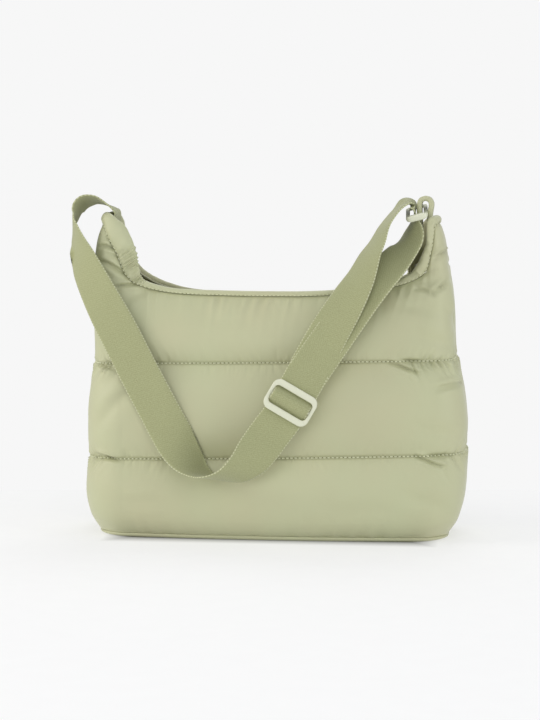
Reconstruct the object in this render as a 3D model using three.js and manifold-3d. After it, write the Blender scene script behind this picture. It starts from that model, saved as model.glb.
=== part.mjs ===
// Padded tote bag with one long webbing strap, standing on its base.
// Millimetres, +Z up, the front looks along -Y, the origin is the middle of the flat underside.
import * as THREE from 'three';
import Module from 'manifold-3d';
import { mergeVertices } from 'three/examples/jsm/utils/BufferGeometryUtils.js';

const wasm = await Module();
wasm.setup();

// Body
const HALF_WIDTH = 191;
const HALF_DEPTH = 73;
const EAR_HEIGHT = 325;
const LOWER_SEAM_Z = 0.2555 * EAR_HEIGHT;
const UPPER_SEAM_Z = 0.5475 * EAR_HEIGHT;
const RIM_Z = 0.76 * EAR_HEIGHT;
const BACK_RIM_DROP = 5;
const GAP = 0.3;
const FRONT_BOW = 0.1;
const FRONT_PUFF = 8;
const SIDE_PUFF = 2;
const SEAM_WALL = 3;
const PAD_WALL = 11;
const GATHER = 1.1;
const FLAT_SHARE = 0.7;
const CORNER_SHARE = 0.88;
const CORNER_PART = 0.6;
const CORNER_LESS = 4;

// Base
const BASE_FLANGE = 4.5;
const BASE_PAD = 13;
const BASE_LEDGE = 1.5;

// Rim
const BAND_WALL = 4.4;
const BAND_PUFF = 1.2;
const FRONT_LAP = 0.075;
const BACK_LAP = 0.09;
const TAPE_WIDTH = 10;
const TAPE_THICK = 1.4;
const TEETH_THICK = 3;
const TEETH_WIDTH = 3.2;
const TAPE_DROP = 3.2;
const TAPE_END = 10;

// Strap and its hardware
const STRAP_WIDTH = 40;
const STRAP_THICK = 1.8;
const STRAP_CLEAR = 1.6;
const LEFT_DRAPE_Z = 0.892 * EAR_HEIGHT;
const RIGHT_DRAPE_Z = 0.806 * EAR_HEIGHT;
const DRAPE_FADE = 8;
const ADJUSTER_SIDE_PLAY = 0.8;
const ADJUSTER_END_BAR = 3.5;
const ADJUSTER_LONG_BAR = 6.5;
const ADJUSTER_WINDOW_LENGTH = STRAP_WIDTH + 2 * ADJUSTER_SIDE_PLAY;
const ADJUSTER_WINDOW_HEIGHT = 19;
const ADJUSTER_LENGTH = ADJUSTER_WINDOW_LENGTH + 2 * ADJUSTER_END_BAR;
const ADJUSTER_HEIGHT = ADJUSTER_WINDOW_HEIGHT + 2 * ADJUSTER_LONG_BAR;
const ADJUSTER_THICK = 3;
const ADJUSTER_CORNER = 4.5;
const ADJUSTER_CLEAR = 0.4;
const BEVEL = 0.5;
const MIDDLE_BAR = 3.6;
const RING_BAR = 3.8;
const RING_LENGTH = STRAP_WIDTH + 2 * RING_BAR + 2.4;
const RING_HEIGHT = 22;
const RING_THICK = 3.2;
const RING_CORNER = 4;
const TAB_WIDTH = 24;
const TAB_THICK = 3.6;
const TAB_ROUND = 5.9;
const TAB_SLACK = 6;
const ZIP_BODY = [11, 9, 7];

// Section of the body at a height: shares of EAR_HEIGHT, HALF_WIDTH and HALF_DEPTH,
// and the shift of its middle towards -X in millimetres.
const SECTIONS = [
  { z: 0.0, width: 0.915, depth: 0.86, shift: 0 },
  { z: 0.06, width: 0.958, depth: 0.96, shift: -1 },
  { z: 0.14, width: 0.98, depth: 1.0, shift: -2 },
  { z: 0.255, width: 0.99, depth: 0.99, shift: -3 },
  { z: 0.37, width: 0.98, depth: 0.96, shift: -3 },
  { z: 0.548, width: 0.95, depth: 0.83, shift: -1 },
  { z: 0.63, width: 0.936, depth: 0.72, shift: 0.5 },
  { z: 0.76, width: 0.93, depth: 0.54, shift: 2.5 },
  { z: 0.86, width: 0.915, depth: 0.48, shift: 4.5 },
  { z: 0.92, width: 0.905, depth: 0.465, shift: 4.5 },
  { z: 1.0, width: 0.875, depth: 0.455, shift: 4.5 },
];

// Lines of the upper edge, left seam to right seam. across is the share of the half girth
// on the quilting seams; stitch and edge give the same for the rim's stitch line and top
// edge, each with its height as a share of RIM_Z.
const RIM = [
  { across: -1.0, stitch: -1.0, stitchZ: 1.275, edge: -1.0, edgeZ: 1.302 },
  { across: -0.95, stitch: -0.95, stitchZ: 1.278, edge: -0.92, edgeZ: 1.312 },
  { across: -0.9, stitch: -0.9, stitchZ: 1.275, edge: -0.83, edgeZ: 1.312 },
  { across: -0.85, stitch: -0.81, stitchZ: 1.258, edge: -0.765, edgeZ: 1.3 },
  { across: -0.8, stitch: -0.745, stitchZ: 1.215, edge: -0.715, edgeZ: 1.265 },
  { across: -0.76, stitch: -0.69, stitchZ: 1.16, edge: -0.683, edgeZ: 1.205 },
  { across: -0.72, stitch: -0.665, stitchZ: 1.105, edge: -0.657, edgeZ: 1.14 },
  { across: -0.675, stitch: -0.642, stitchZ: 1.06, edge: -0.618, edgeZ: 1.082 },
  { across: -0.62, stitch: -0.6, stitchZ: 1.024, edge: -0.565, edgeZ: 1.045 },
  { across: -0.53, stitch: -0.52, stitchZ: 1.0, edge: -0.5, edgeZ: 1.022 },
  { across: -0.4, stitch: -0.4, stitchZ: 0.984, edge: -0.4, edgeZ: 1.006 },
  { across: -0.2, stitch: -0.2, stitchZ: 0.978, edge: -0.2, edgeZ: 1.0 },
  { across: 0.0, stitch: 0.0, stitchZ: 0.976, edge: 0.0, edgeZ: 0.998 },
  { across: 0.2, stitch: 0.2, stitchZ: 0.978, edge: 0.2, edgeZ: 1.0 },
  { across: 0.4, stitch: 0.4, stitchZ: 0.992, edge: 0.4, edgeZ: 1.014 },
  { across: 0.53, stitch: 0.53, stitchZ: 1.012, edge: 0.52, edgeZ: 1.034 },
  { across: 0.62, stitch: 0.62, stitchZ: 1.036, edge: 0.6, edgeZ: 1.06 },
  { across: 0.68, stitch: 0.68, stitchZ: 1.066, edge: 0.645, edgeZ: 1.092 },
  { across: 0.72, stitch: 0.715, stitchZ: 1.11, edge: 0.675, edgeZ: 1.136 },
  { across: 0.76, stitch: 0.742, stitchZ: 1.17, edge: 0.7, edgeZ: 1.19 },
  { across: 0.8, stitch: 0.768, stitchZ: 1.23, edge: 0.724, edgeZ: 1.25 },
  { across: 0.85, stitch: 0.8, stitchZ: 1.262, edge: 0.76, edgeZ: 1.29 },
  { across: 0.9, stitch: 0.86, stitchZ: 1.272, edge: 0.83, edgeZ: 1.3 },
  { across: 0.95, stitch: 0.93, stitchZ: 1.272, edge: 0.92, edgeZ: 1.3 },
  { across: 1.0, stitch: 1.0, stitchZ: 1.268, edge: 1.0, edgeZ: 1.292 },
];

// Rows of the quilting, as shares of one band's height.
const BAND_ROWS = [0, 0.1, 0.32, 0.66, 0.9];

// Middle line of the webbing from the left ear to the ring: x, y and z as shares of
// HALF_WIDTH, HALF_DEPTH and EAR_HEIGHT. side is the way of the width in the XZ plane in
// degrees from -X, turn is its way towards the back in degrees.
const STRAP = [
  { x: -0.87, y: 0.0, z: 0.935, side: 0, turn: 90 },
  { x: -0.85, y: 0.0, z: 0.985, side: 0, turn: 90 },
  { x: -0.857, y: -0.01, z: 1.002, side: 10, turn: 88 },
  { x: -0.912, y: -0.03, z: 1.023, side: 40, turn: 82 },
  { x: -0.965, y: -0.06, z: 1.033, side: 80, turn: 76 },
  { x: -1.015, y: -0.09, z: 1.029, side: 88, turn: 72 },
  { x: -1.048, y: -0.12, z: 1.013, side: 90, turn: 70 },
  { x: -1.066, y: -0.14, z: 0.986, side: 75, turn: 74 },
  { x: -1.074, y: -0.18, z: 0.963, side: 48, turn: 75 },
  { x: -1.063, y: -0.24, z: 0.932, side: 20, turn: 67 },
  { x: -1.033, y: -0.34, z: 0.882, side: 14, turn: 53 },
  { x: -0.993, y: -0.45, z: 0.834, side: 16, turn: 38 },
  { x: -0.932, y: -0.58, z: 0.772, side: 20, turn: 25 },
  { x: -0.853, y: -0.72, z: 0.695, side: 23, turn: 11 },
  { x: -0.775, y: -0.85, z: 0.621, side: 26, turn: 2 },
  { x: -0.66, y: -0.98, z: 0.501, side: 27, turn: 0 },
  { x: -0.57, y: -1.06, z: 0.409, side: 25, turn: 0 },
  { x: -0.492, y: -1.12, z: 0.33, side: 19, turn: -8 },
  { x: -0.425, y: -1.16, z: 0.268, side: 14, turn: -32 },
  { x: -0.362, y: -1.22, z: 0.226, side: 8, turn: -56 },
  { x: -0.298, y: -1.31, z: 0.206, side: -12, turn: -66 },
  { x: -0.235, y: -1.41, z: 0.205, side: -32, turn: -62 },
  { x: -0.157, y: -1.49, z: 0.22, side: -32, turn: -48 },
  { x: -0.085, y: -1.5, z: 0.255, side: -25, turn: -33 },
  { x: -0.026, y: -1.44, z: 0.299, side: -23, turn: -16 },
  { x: 0.03, y: -1.36, z: 0.345, side: -26, turn: -4 },
];

// The same past the adjuster: up to the ring, round its bar and back beside itself.
const STRAP_UP = [
  { x: 0.262, y: -1.12, z: 0.58, side: -28, turn: 4 },
  { x: 0.33, y: -1.03, z: 0.655, side: -24, turn: 14 },
  { x: 0.39, y: -0.94, z: 0.717, side: -20, turn: 24 },
  { x: 0.435, y: -0.85, z: 0.766, side: -20, turn: 36 },
  { x: 0.472, y: -0.73, z: 0.812, side: -16, turn: 48 },
  { x: 0.508, y: -0.58, z: 0.868, side: -12, turn: 60 },
  { x: 0.543, y: -0.45, z: 0.91, side: -10, turn: 68 },
  { x: 0.585, y: -0.32, z: 0.962, side: -8, turn: 76 },
  { x: 0.65, y: -0.18, z: 1.009, side: -20, turn: 82 },
  { x: 0.702, y: -0.1, z: 1.027, side: -90, turn: 78 },
  { x: 0.73, y: -0.09, z: 1.018, side: -90, turn: 78 },
  { x: 0.733, y: -0.09, z: 0.989, side: -70, turn: 82 },
  { x: 0.716, y: -0.16, z: 0.947, side: 0, turn: 70 },
  { x: 0.697, y: -0.34, z: 0.902, side: -4, turn: 44 },
  { x: 0.645, y: -0.5, z: 0.86, side: -10, turn: 32 },
  { x: 0.598, y: -0.64, z: 0.827, side: -14, turn: 26 },
  { x: 0.532, y: -0.8, z: 0.783, side: -18, turn: 22 },
  { x: 0.462, y: -0.9, z: 0.731, side: -22, turn: 18 },
];

// Where the adjuster sits on the webbing, and how the webbing weaves through it:
// along is the distance along the strap and lift the height over its seat, millimetres.
const ADJUSTER_AT = { x: 0.13, y: -1.3, z: 0.434, side: -30, turn: 0, lean: 8 };
const WEAVE = [
  { along: -17, lift: 0 },
  { along: -11, lift: 0 },
  { along: -8, lift: 0.7 },
  { along: -5.2, lift: 3.6 },
  { along: -2.6, lift: 6 },
  { along: 0, lift: 6.4 },
  { along: 2.6, lift: 6 },
  { along: 5.2, lift: 3.6 },
  { along: 8, lift: 0.7 },
  { along: 11, lift: 0 },
  { along: 17, lift: 0 },
];
const TUCK = [
  { along: 34, lift: -2.6 },
  { along: 18, lift: -2.5 },
  { along: 9, lift: -1.7 },
  { along: 4, lift: -0.1 },
  { along: -2.5, lift: 0 },
];

const vec = (x, y, z) => new THREE.Vector3(x, y, z);
const radians = (degrees) => (degrees * Math.PI) / 180;
const mix = (a, b, share) => a + (b - a) * share;

// One column of a table as a smooth curve through its rows.
function column(rows, key, at) {
  const last = rows.length - 1;
  const row = Math.min(Math.floor(at), last - 1);
  const share = at - row;
  const p0 = rows[Math.max(row - 1, 0)][key];
  const p1 = rows[row][key];
  const p2 = rows[row + 1][key];
  const p3 = rows[Math.min(row + 2, last)][key];
  const square = share * share;
  const cube = square * share;
  return p1 + 0.5 * ((p2 - p0) * share + (2 * p0 - 5 * p1 + 4 * p2 - p3) * square
    + (3 * p1 - p0 - 3 * p2 + p3) * cube);
}

function sectionAt(z) {
  const share = Math.min(Math.max(z / EAR_HEIGHT, 0), 1);
  let row = 0;
  while (row < SECTIONS.length - 2 && SECTIONS[row + 1].z < share) row += 1;
  const from = SECTIONS[row];
  const to = SECTIONS[row + 1];
  const at = row + (share - from.z) / (to.z - from.z);
  const width = column(SECTIONS, 'width', at) * HALF_WIDTH;
  const depth = column(SECTIONS, 'depth', at) * HALF_DEPTH;
  const corner = CORNER_PART * depth - CORNER_LESS;
  return {
    width, depth, corner, sideDepth: depth * (1 - FRONT_BOW), flat: width - corner,
    shift: -column(SECTIONS, 'shift', at),
  };
}

// Point of the outer skin: share runs -1..1 round one half of the girth, out is the way
// the skin stands off the plain section and face is -1 for the front, +1 for the back.
function skin(share, z, out, face) {
  const section = sectionAt(z);
  const { corner, sideDepth: depth, flat } = section;
  const size = Math.abs(share);
  const side = Math.sign(share) || 1;
  let x = 0;
  let y = 0;
  if (size <= FLAT_SHARE) {
    const part = size / FLAT_SHARE;
    x = flat * part;
    y = section.depth * (1 - FRONT_BOW * part * part) + out;
  } else if (size <= CORNER_SHARE) {
    const angle = ((size - FLAT_SHARE) / (CORNER_SHARE - FLAT_SHARE)) * (Math.PI / 2);
    x = flat + (corner + out) * Math.sin(angle);
    y = depth - corner + (corner + out) * Math.cos(angle);
  } else {
    const part = (1 - size) / (1 - CORNER_SHARE);
    x = section.width + out;
    y = (depth - corner) * part;
  }
  return vec(section.shift + side * x, face * (y + GAP / 2), z);
}

// How far the front skin stands at a place seen from the front.
function frontDepth(x, z) {
  const section = sectionAt(z);
  const { corner, sideDepth: depth, flat } = section;
  const reach = Math.abs(x - section.shift);
  const puff = puffAt(z, Math.min(reach / section.width, 1));
  if (reach <= flat) return section.depth * (1 - FRONT_BOW * (reach / flat) ** 2) + puff;
  const over = Math.min((reach - flat) / (corner + puff), 1);
  return depth - corner + (corner + puff) * Math.sqrt(1 - over * over);
}

// Share of one quilted band that a height has reached, 0 and 1 on its seams.
function bandShare(z, top) {
  if (z < LOWER_SEAM_Z) return z / LOWER_SEAM_Z;
  if (z < UPPER_SEAM_Z) return (z - LOWER_SEAM_Z) / (UPPER_SEAM_Z - LOWER_SEAM_Z);
  return Math.min((z - UPPER_SEAM_Z) / (top - UPPER_SEAM_Z), 1);
}

function puffAt(z, size, top = RIM_Z) {
  const swell = Math.sin(Math.PI * bandShare(z, top)) ** 0.6;
  return mix(FRONT_PUFF, SIDE_PUFF, size ** 4) * swell;
}

// Closed shell between an outer and an inner sheet of the same grid.
function shell(outer, inner, columns, rows, flip) {
  const positions = [];
  const faces = [];
  const width = columns + 1;
  const layer = width * (rows + 1);
  for (const sheet of [outer, inner]) {
    for (let row = 0; row <= rows; row += 1) {
      for (let col = 0; col <= columns; col += 1) {
        positions.push(...sheet(col, row).toArray());
      }
    }
  }
  const quad = (a, b, c, d) => {
    if (flip) faces.push(a, c, b, a, d, c);
    else faces.push(a, b, c, a, c, d);
  };
  const id = (col, row) => row * width + col;
  for (let row = 0; row < rows; row += 1) {
    for (let col = 0; col < columns; col += 1) {
      quad(id(col, row), id(col + 1, row), id(col + 1, row + 1), id(col, row + 1));
      quad(layer + id(col, row), layer + id(col, row + 1),
        layer + id(col + 1, row + 1), layer + id(col + 1, row));
    }
  }
  for (let col = 0; col < columns; col += 1) {
    quad(id(col, 0), layer + id(col, 0), layer + id(col + 1, 0), id(col + 1, 0));
    quad(id(col + 1, rows), layer + id(col + 1, rows), layer + id(col, rows), id(col, rows));
  }
  for (let row = 0; row < rows; row += 1) {
    quad(id(0, row + 1), layer + id(0, row + 1), layer + id(0, row), id(0, row));
    quad(id(columns, row), layer + id(columns, row),
      layer + id(columns, row + 1), id(columns, row + 1));
  }
  return solid(positions, faces);
}

// Closed body through a run of rings with the same number of points.
function loft(rings) {
  const positions = [];
  const faces = [];
  const count = rings[0].length;
  for (const ring of rings) for (const point of ring) positions.push(...point.toArray());
  for (let step = 0; step < rings.length - 1; step += 1) {
    for (let index = 0; index < count; index += 1) {
      const next = (index + 1) % count;
      const a = step * count + index;
      const b = step * count + next;
      faces.push(a, b, b + count, a, b + count, a + count);
    }
  }
  const end = (rings.length - 1) * count;
  for (let index = 1; index < count - 1; index += 1) {
    faces.push(0, index + 1, index);
    faces.push(end, end + index, end + index + 1);
  }
  return solid(positions, faces);
}

function solid(positions, faces) {
  const geometry = new THREE.BufferGeometry();
  geometry.setAttribute('position', new THREE.Float32BufferAttribute(positions, 3));
  geometry.setIndex(faces);
  return turnedOut(geometry);
}

// Turns every face round when the body's signed volume is negative.
function turnedOut(geometry) {
  const place = geometry.getAttribute('position');
  const index = geometry.getIndex();
  const a = vec(0, 0, 0);
  const b = vec(0, 0, 0);
  const c = vec(0, 0, 0);
  let volume = 0;
  for (let face = 0; face < index.count; face += 3) {
    a.fromBufferAttribute(place, index.getX(face));
    b.fromBufferAttribute(place, index.getX(face + 1));
    c.fromBufferAttribute(place, index.getX(face + 2));
    volume += a.dot(b.cross(c));
  }
  if (volume > 0) return geometry;
  for (let face = 0; face < index.count; face += 3) {
    const kept = index.getX(face);
    index.setX(face, index.getX(face + 1));
    index.setX(face + 1, kept);
  }
  return geometry;
}

// Heights of the panel's grid rows under the point of the stitch line that is above them.
function panelRow(row, top) {
  const count = BAND_ROWS.length;
  const band = Math.floor(row / count);
  const share = row % count === 0 && band === 3 ? 0 : BAND_ROWS[row % count];
  const floors = [BASE_FLANGE + GAP, LOWER_SEAM_Z, UPPER_SEAM_Z, top];
  if (band >= 3) return top;
  return mix(floors[band], floors[band + 1], share);
}

// One quilted panel: three padded bands, pinched on the seams and gathered at their ends.
function panel(face) {
  const columns = 2 * (RIM.length - 1);
  const rows = 3 * BAND_ROWS.length;
  const drop = face > 0 ? BACK_RIM_DROP : 0;
  const at = (col, row, wall) => {
    const place = col / 2;
    const middle = Math.max(0, 1 - Math.abs(column(RIM, 'across', place)) / 0.6);
    const top = column(RIM, 'stitchZ', place) * RIM_Z - drop * Math.min(1, 2 * middle);
    const z = panelRow(row, top);
    const rise = Math.max(0, (z - UPPER_SEAM_Z) / (top - UPPER_SEAM_Z));
    const share = mix(column(RIM, 'across', place), column(RIM, 'stitch', place), rise);
    const size = Math.min(Math.abs(share) / CORNER_SHARE, 1);
    const band = bandShare(z, top);
    const swell = Math.sin(Math.PI * Math.min(band, 1)) ** 0.6;
    const ends = Math.max(0, Math.min(1, (Math.abs(share) - 0.55) / 0.1));
    const edge = Math.min(1, (1 - Math.abs(share)) / 0.06);
    const near = Math.exp(-4 * Math.min(band, 1 - band));
    const gather = GATHER * ends * edge * near * Math.cos(2 * Math.PI * place);
    const out = mix(FRONT_PUFF, SIDE_PUFF, size ** 4) * swell + gather;
    const thick = SEAM_WALL + (PAD_WALL - SEAM_WALL) * swell * (0.45 + 0.55 * edge * (1 - size ** 4));
    return skin(share, z, out - (wall ? thick + gather : 0), face);
  };
  return shell((col, row) => at(col, row, false), (col, row) => at(col, row, true),
    columns, rows, face > 0);
}

// How far the front binding's edge laps over the mouth at the left ear, and the back one's
// at the right ear.
function earLap(place, face) {
  const across = column(RIM, 'across', place) * face;
  const grown = THREE.MathUtils.smoothstep(across, 0.6, 0.74);
  const faded = 1 - THREE.MathUtils.smoothstep(across, 0.72, 0.92);
  return face * (face < 0 ? FRONT_LAP : BACK_LAP) * grown * faded;
}

// Places on the rim: rise 0 is the stitch line and 1 the top edge.
function rimPlace(place, rise, face) {
  const edge = column(RIM, 'edge', place) - earLap(place, face);
  const share = mix(column(RIM, 'stitch', place), edge, rise);
  const middle = Math.max(0, 1 - Math.abs(column(RIM, 'across', place)) / 0.6);
  const drop = face > 0 ? BACK_RIM_DROP * Math.min(1, 2 * middle) : 0;
  const z = mix(column(RIM, 'stitchZ', place), column(RIM, 'edgeZ', place), rise) * RIM_Z - drop;
  return { share, z };
}

// Folded binding over the panel's upper edge.
function rimBand(face) {
  const rings = [];
  const columns = 2 * (RIM.length - 1);
  const profile = [
    { rise: 0, out: 0.3 }, { rise: 0.5, out: BAND_PUFF }, { rise: 0.92, out: 0.4 },
    { rise: 1, out: -BAND_WALL * 0.45 }, { rise: 0.92, out: -BAND_WALL }, { rise: 0, out: -BAND_WALL },
  ];
  for (let col = 0; col <= columns; col += 1) {
    const low = rimPlace(col / 2, 0, face);
    const high = rimPlace(col / 2, 1, face);
    const from = skin(low.share, low.z, 0, face);
    const span = from.distanceTo(skin(high.share, high.z, 0, face));
    const start = (GAP + 0.25) / span;
    rings.push(profile.map(({ rise, out }) => {
      const at = rimPlace(col / 2, mix(start, 1, rise), face);
      return skin(at.share, at.z, out, face);
    }));
  }
  return loft(rings);
}

// Zip tape sewn inside the binding, with its row of teeth along the free edge.
function zipTape(face) {
  const rings = [];
  const first = TAPE_END;
  const last = 2 * (RIM.length - 1) - TAPE_END;
  for (let col = first; col <= last; col += 1) {
    const at = rimPlace(col / 2, 0.8, face);
    const seat = skin(at.share, at.z, -BAND_WALL - GAP, face);
    const z = seat.z - TAPE_DROP;
    const y = (reach) => seat.y - face * reach;
    const low = -TAPE_THICK / 2;
    const high = TAPE_THICK / 2;
    const teeth = TAPE_WIDTH - TEETH_WIDTH;
    const ahead = rimPlace(Math.min(col + 1, last) / 2, 0.8, face);
    const behind = rimPlace(Math.max(col - 1, first) / 2, 0.8, face);
    const run = skin(ahead.share, ahead.z, -BAND_WALL, face)
      .sub(skin(behind.share, behind.z, -BAND_WALL, face));
    const normal = vec(-run.z, 0, run.x).normalize();
    const point = (reach, lift) => vec(seat.x + normal.x * lift, y(reach), z + normal.z * lift);
    rings.push([
      point(0, low), point(teeth, low), point(teeth, -TEETH_THICK / 2),
      point(TAPE_WIDTH, -TEETH_THICK / 2), point(TAPE_WIDTH, TEETH_THICK / 2),
      point(teeth, TEETH_THICK / 2), point(teeth, high), point(0, high),
    ]);
  }
  return loft(rings);
}

function basePanel() {
  const columns = 44;
  const levels = [
    { reach: 0.5, z: 0 }, { reach: 1, z: 0 }, { reach: 1, z: BASE_FLANGE },
    { reach: 0.93, z: BASE_FLANGE }, { reach: 0.85, z: BASE_PAD * 0.75 }, { reach: 0.45, z: BASE_PAD },
  ];
  const outline = (col, reach, z) => {
    const turn = (col / columns) * 4;
    const face = turn < 2 ? -1 : 1;
    const share = turn < 2 ? turn - 1 : 3 - turn;
    const point = skin(share, BASE_FLANGE, BASE_LEDGE, face);
    const nearer = share === -1 || share === 1 ? 0 : point.y;
    return vec(point.x * reach, nearer * reach, z);
  };
  return loft(levels.map(({ reach, z }) => Array.from({ length: columns },
    (_, col) => outline(col, reach, z))));
}

function stripWidth({ side, turn }) {
  const flatness = Math.cos(radians(turn));
  return vec(-flatness * Math.cos(radians(side)), Math.sin(radians(turn)),
    -flatness * Math.sin(radians(side)));
}

function shared(row) {
  return {
    at: vec(row.x * HALF_WIDTH, row.y * HALF_DEPTH, row.z * EAR_HEIGHT),
    across: stripWidth(row),
  };
}

// Seat of the adjuster: long is along the webbing's width, up along its run, out to the front.
function adjusterSeat() {
  const { at, across } = shared(ADJUSTER_AT);
  const lean = radians(ADJUSTER_AT.lean);
  const side = radians(ADJUSTER_AT.side);
  const up = vec(-Math.sin(side) * Math.cos(lean), Math.sin(lean), Math.cos(side) * Math.cos(lean));
  const out = across.clone().cross(up).normalize();
  if (out.y > 0) out.negate();
  return { at, across, up, out };
}

// Middle line and width of the whole webbing, one entry for each ring of its body.
function strapLine() {
  const seat = adjusterSeat();
  const woven = (rows) => rows.map(({ along, lift }) => ({
    at: seat.at.clone().addScaledVector(seat.up, along).addScaledVector(seat.out, lift),
    across: seat.across.clone(),
    held: true,
  }));
  const stations = [
    ...STRAP.map(shared), ...woven(WEAVE), ...STRAP_UP.map(shared), ...woven(TUCK),
  ];
  const line = new THREE.CatmullRomCurve3(stations.map(({ at }) => at), false, 'centripetal');
  const ways = new THREE.CatmullRomCurve3(stations.map(({ across }) => across), false, 'centripetal');
  const steps = [];
  const last = stations.length - 1;
  for (let station = 0; station <= last; station += 1) {
    const parts = station === last || stations[station].held ? 1 : 2;
    for (let part = 0; part < parts; part += 1) {
      const share = (station + part / parts) / last;
      steps.push({ at: line.getPoint(share), across: ways.getPoint(share).normalize() });
    }
  }
  return steps;
}

// Keeps a point of the webbing in front of the padding where it hangs before the panel.
function draped(point) {
  const top = point.x < 0 ? LEFT_DRAPE_Z : RIGHT_DRAPE_Z;
  if (point.z > top) return point;
  const seat = frontDepth(point.x, point.z) + STRAP_CLEAR;
  const fade = Math.min(1, (top - point.z) / DRAPE_FADE);
  const push = Math.max(0, point.y + seat) * fade;
  return point.add(vec(0, -push, 0));
}

function strap() {
  const steps = strapLine();
  const rings = steps.map(({ at, across }, index) => {
    const ahead = steps[Math.min(index + 1, steps.length - 1)].at;
    const behind = steps[Math.max(index - 1, 0)].at;
    const run = ahead.clone().sub(behind).normalize();
    const way = across.clone().addScaledVector(run, -across.dot(run)).normalize();
    const out = run.clone().cross(way).normalize();
    const lay = [-0.5, 0, 0.5].map((share) => at.clone().addScaledVector(way, share * STRAP_WIDTH));
    return [
      ...lay.map((point) => draped(point.clone().addScaledVector(out, STRAP_THICK / 2))),
      ...lay.reverse().map((point) => draped(point.clone().addScaledVector(out, -STRAP_THICK / 2))),
    ];
  });
  return loft(rings);
}

function roundedPath(path, length, height, corner) {
  const x = length / 2;
  const y = height / 2;
  path.moveTo(-x + corner, -y);
  path.lineTo(x - corner, -y);
  path.absarc(x - corner, -y + corner, corner, -Math.PI / 2, 0, false);
  path.lineTo(x, y - corner);
  path.absarc(x - corner, y - corner, corner, 0, Math.PI / 2, false);
  path.lineTo(-x + corner, y);
  path.absarc(-x + corner, y - corner, corner, Math.PI / 2, Math.PI, false);
  path.lineTo(-x, -y + corner);
  path.absarc(-x + corner, -y + corner, corner, Math.PI, 1.5 * Math.PI, false);
  return path;
}

// Flat frame with rounded corners and one window, its middle at the origin.
function frameBody(length, height, windowLength, windowHeight, thick, corner) {
  const shape = roundedPath(new THREE.Shape(), length, height, corner);
  shape.holes.push(roundedPath(new THREE.Path(), windowLength, windowHeight, corner / 3));
  const geometry = new THREE.ExtrudeGeometry(shape, {
    depth: thick - 2 * BEVEL, bevelEnabled: true, bevelSize: BEVEL, bevelThickness: BEVEL,
    bevelSegments: 1, bevelOffset: -BEVEL, curveSegments: 4,
  });
  geometry.translate(0, 0, -(thick - 2 * BEVEL) / 2);
  return geometry;
}

function toManifold(geometry) {
  const bare = geometry.clone();
  bare.deleteAttribute('normal');
  bare.deleteAttribute('uv');
  const merged = mergeVertices(bare, 1e-4);
  return new wasm.Manifold(new wasm.Mesh({
    numProp: 3,
    vertProperties: new Float32Array(merged.getAttribute('position').array),
    triVerts: new Uint32Array(merged.getIndex().array),
  }));
}

function fromManifold(body) {
  const mesh = body.getMesh();
  const geometry = new THREE.BufferGeometry();
  geometry.setAttribute('position', new THREE.Float32BufferAttribute(mesh.vertProperties, 3));
  geometry.setIndex(Array.from(mesh.triVerts));
  return geometry;
}

function placed(geometry, at, xWay, yWay, zWay) {
  const matrix = new THREE.Matrix4().makeBasis(xWay, yWay, zWay).setPosition(at);
  return turnedOut(geometry.applyMatrix4(matrix));
}

function adjuster() {
  const frame = toManifold(frameBody(ADJUSTER_LENGTH, ADJUSTER_HEIGHT, ADJUSTER_WINDOW_LENGTH,
    ADJUSTER_WINDOW_HEIGHT, ADJUSTER_THICK, ADJUSTER_CORNER));
  const bar = toManifold(new THREE.BoxGeometry(ADJUSTER_WINDOW_LENGTH + ADJUSTER_END_BAR,
    MIDDLE_BAR, ADJUSTER_THICK - 2 * BEVEL));
  const seat = adjusterSeat();
  const lift = STRAP_THICK / 2 + GAP + ADJUSTER_CLEAR + ADJUSTER_THICK / 2;
  return placed(fromManifold(frame.add(bar)), seat.at.clone().addScaledVector(seat.out, lift),
    seat.across, seat.up, seat.out);
}

// Ring under the strap's last arch, its far bar under the arch of the tab.
const RING_AT = vec(0.745 * HALF_WIDTH, -0.09 * HALF_DEPTH, 0.998 * EAR_HEIGHT);
const RING_TILT = radians(14);
const RING_PITCH = radians(12);

function ring() {
  const geometry = frameBody(RING_LENGTH, RING_HEIGHT, RING_LENGTH - 2 * RING_BAR,
    RING_HEIGHT - 2 * RING_BAR, RING_THICK, RING_CORNER);
  const short = vec(Math.cos(RING_TILT), 0, Math.sin(RING_TILT));
  const long = vec(0, Math.cos(RING_PITCH), Math.sin(RING_PITCH));
  long.addScaledVector(short, -long.dot(short)).normalize();
  return placed(mergeBare(geometry), RING_AT, long, short, long.clone().cross(short));
}

function mergeBare(geometry) {
  const bare = geometry.clone();
  bare.deleteAttribute('normal');
  bare.deleteAttribute('uv');
  return mergeVertices(bare, 1e-4);
}

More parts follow.
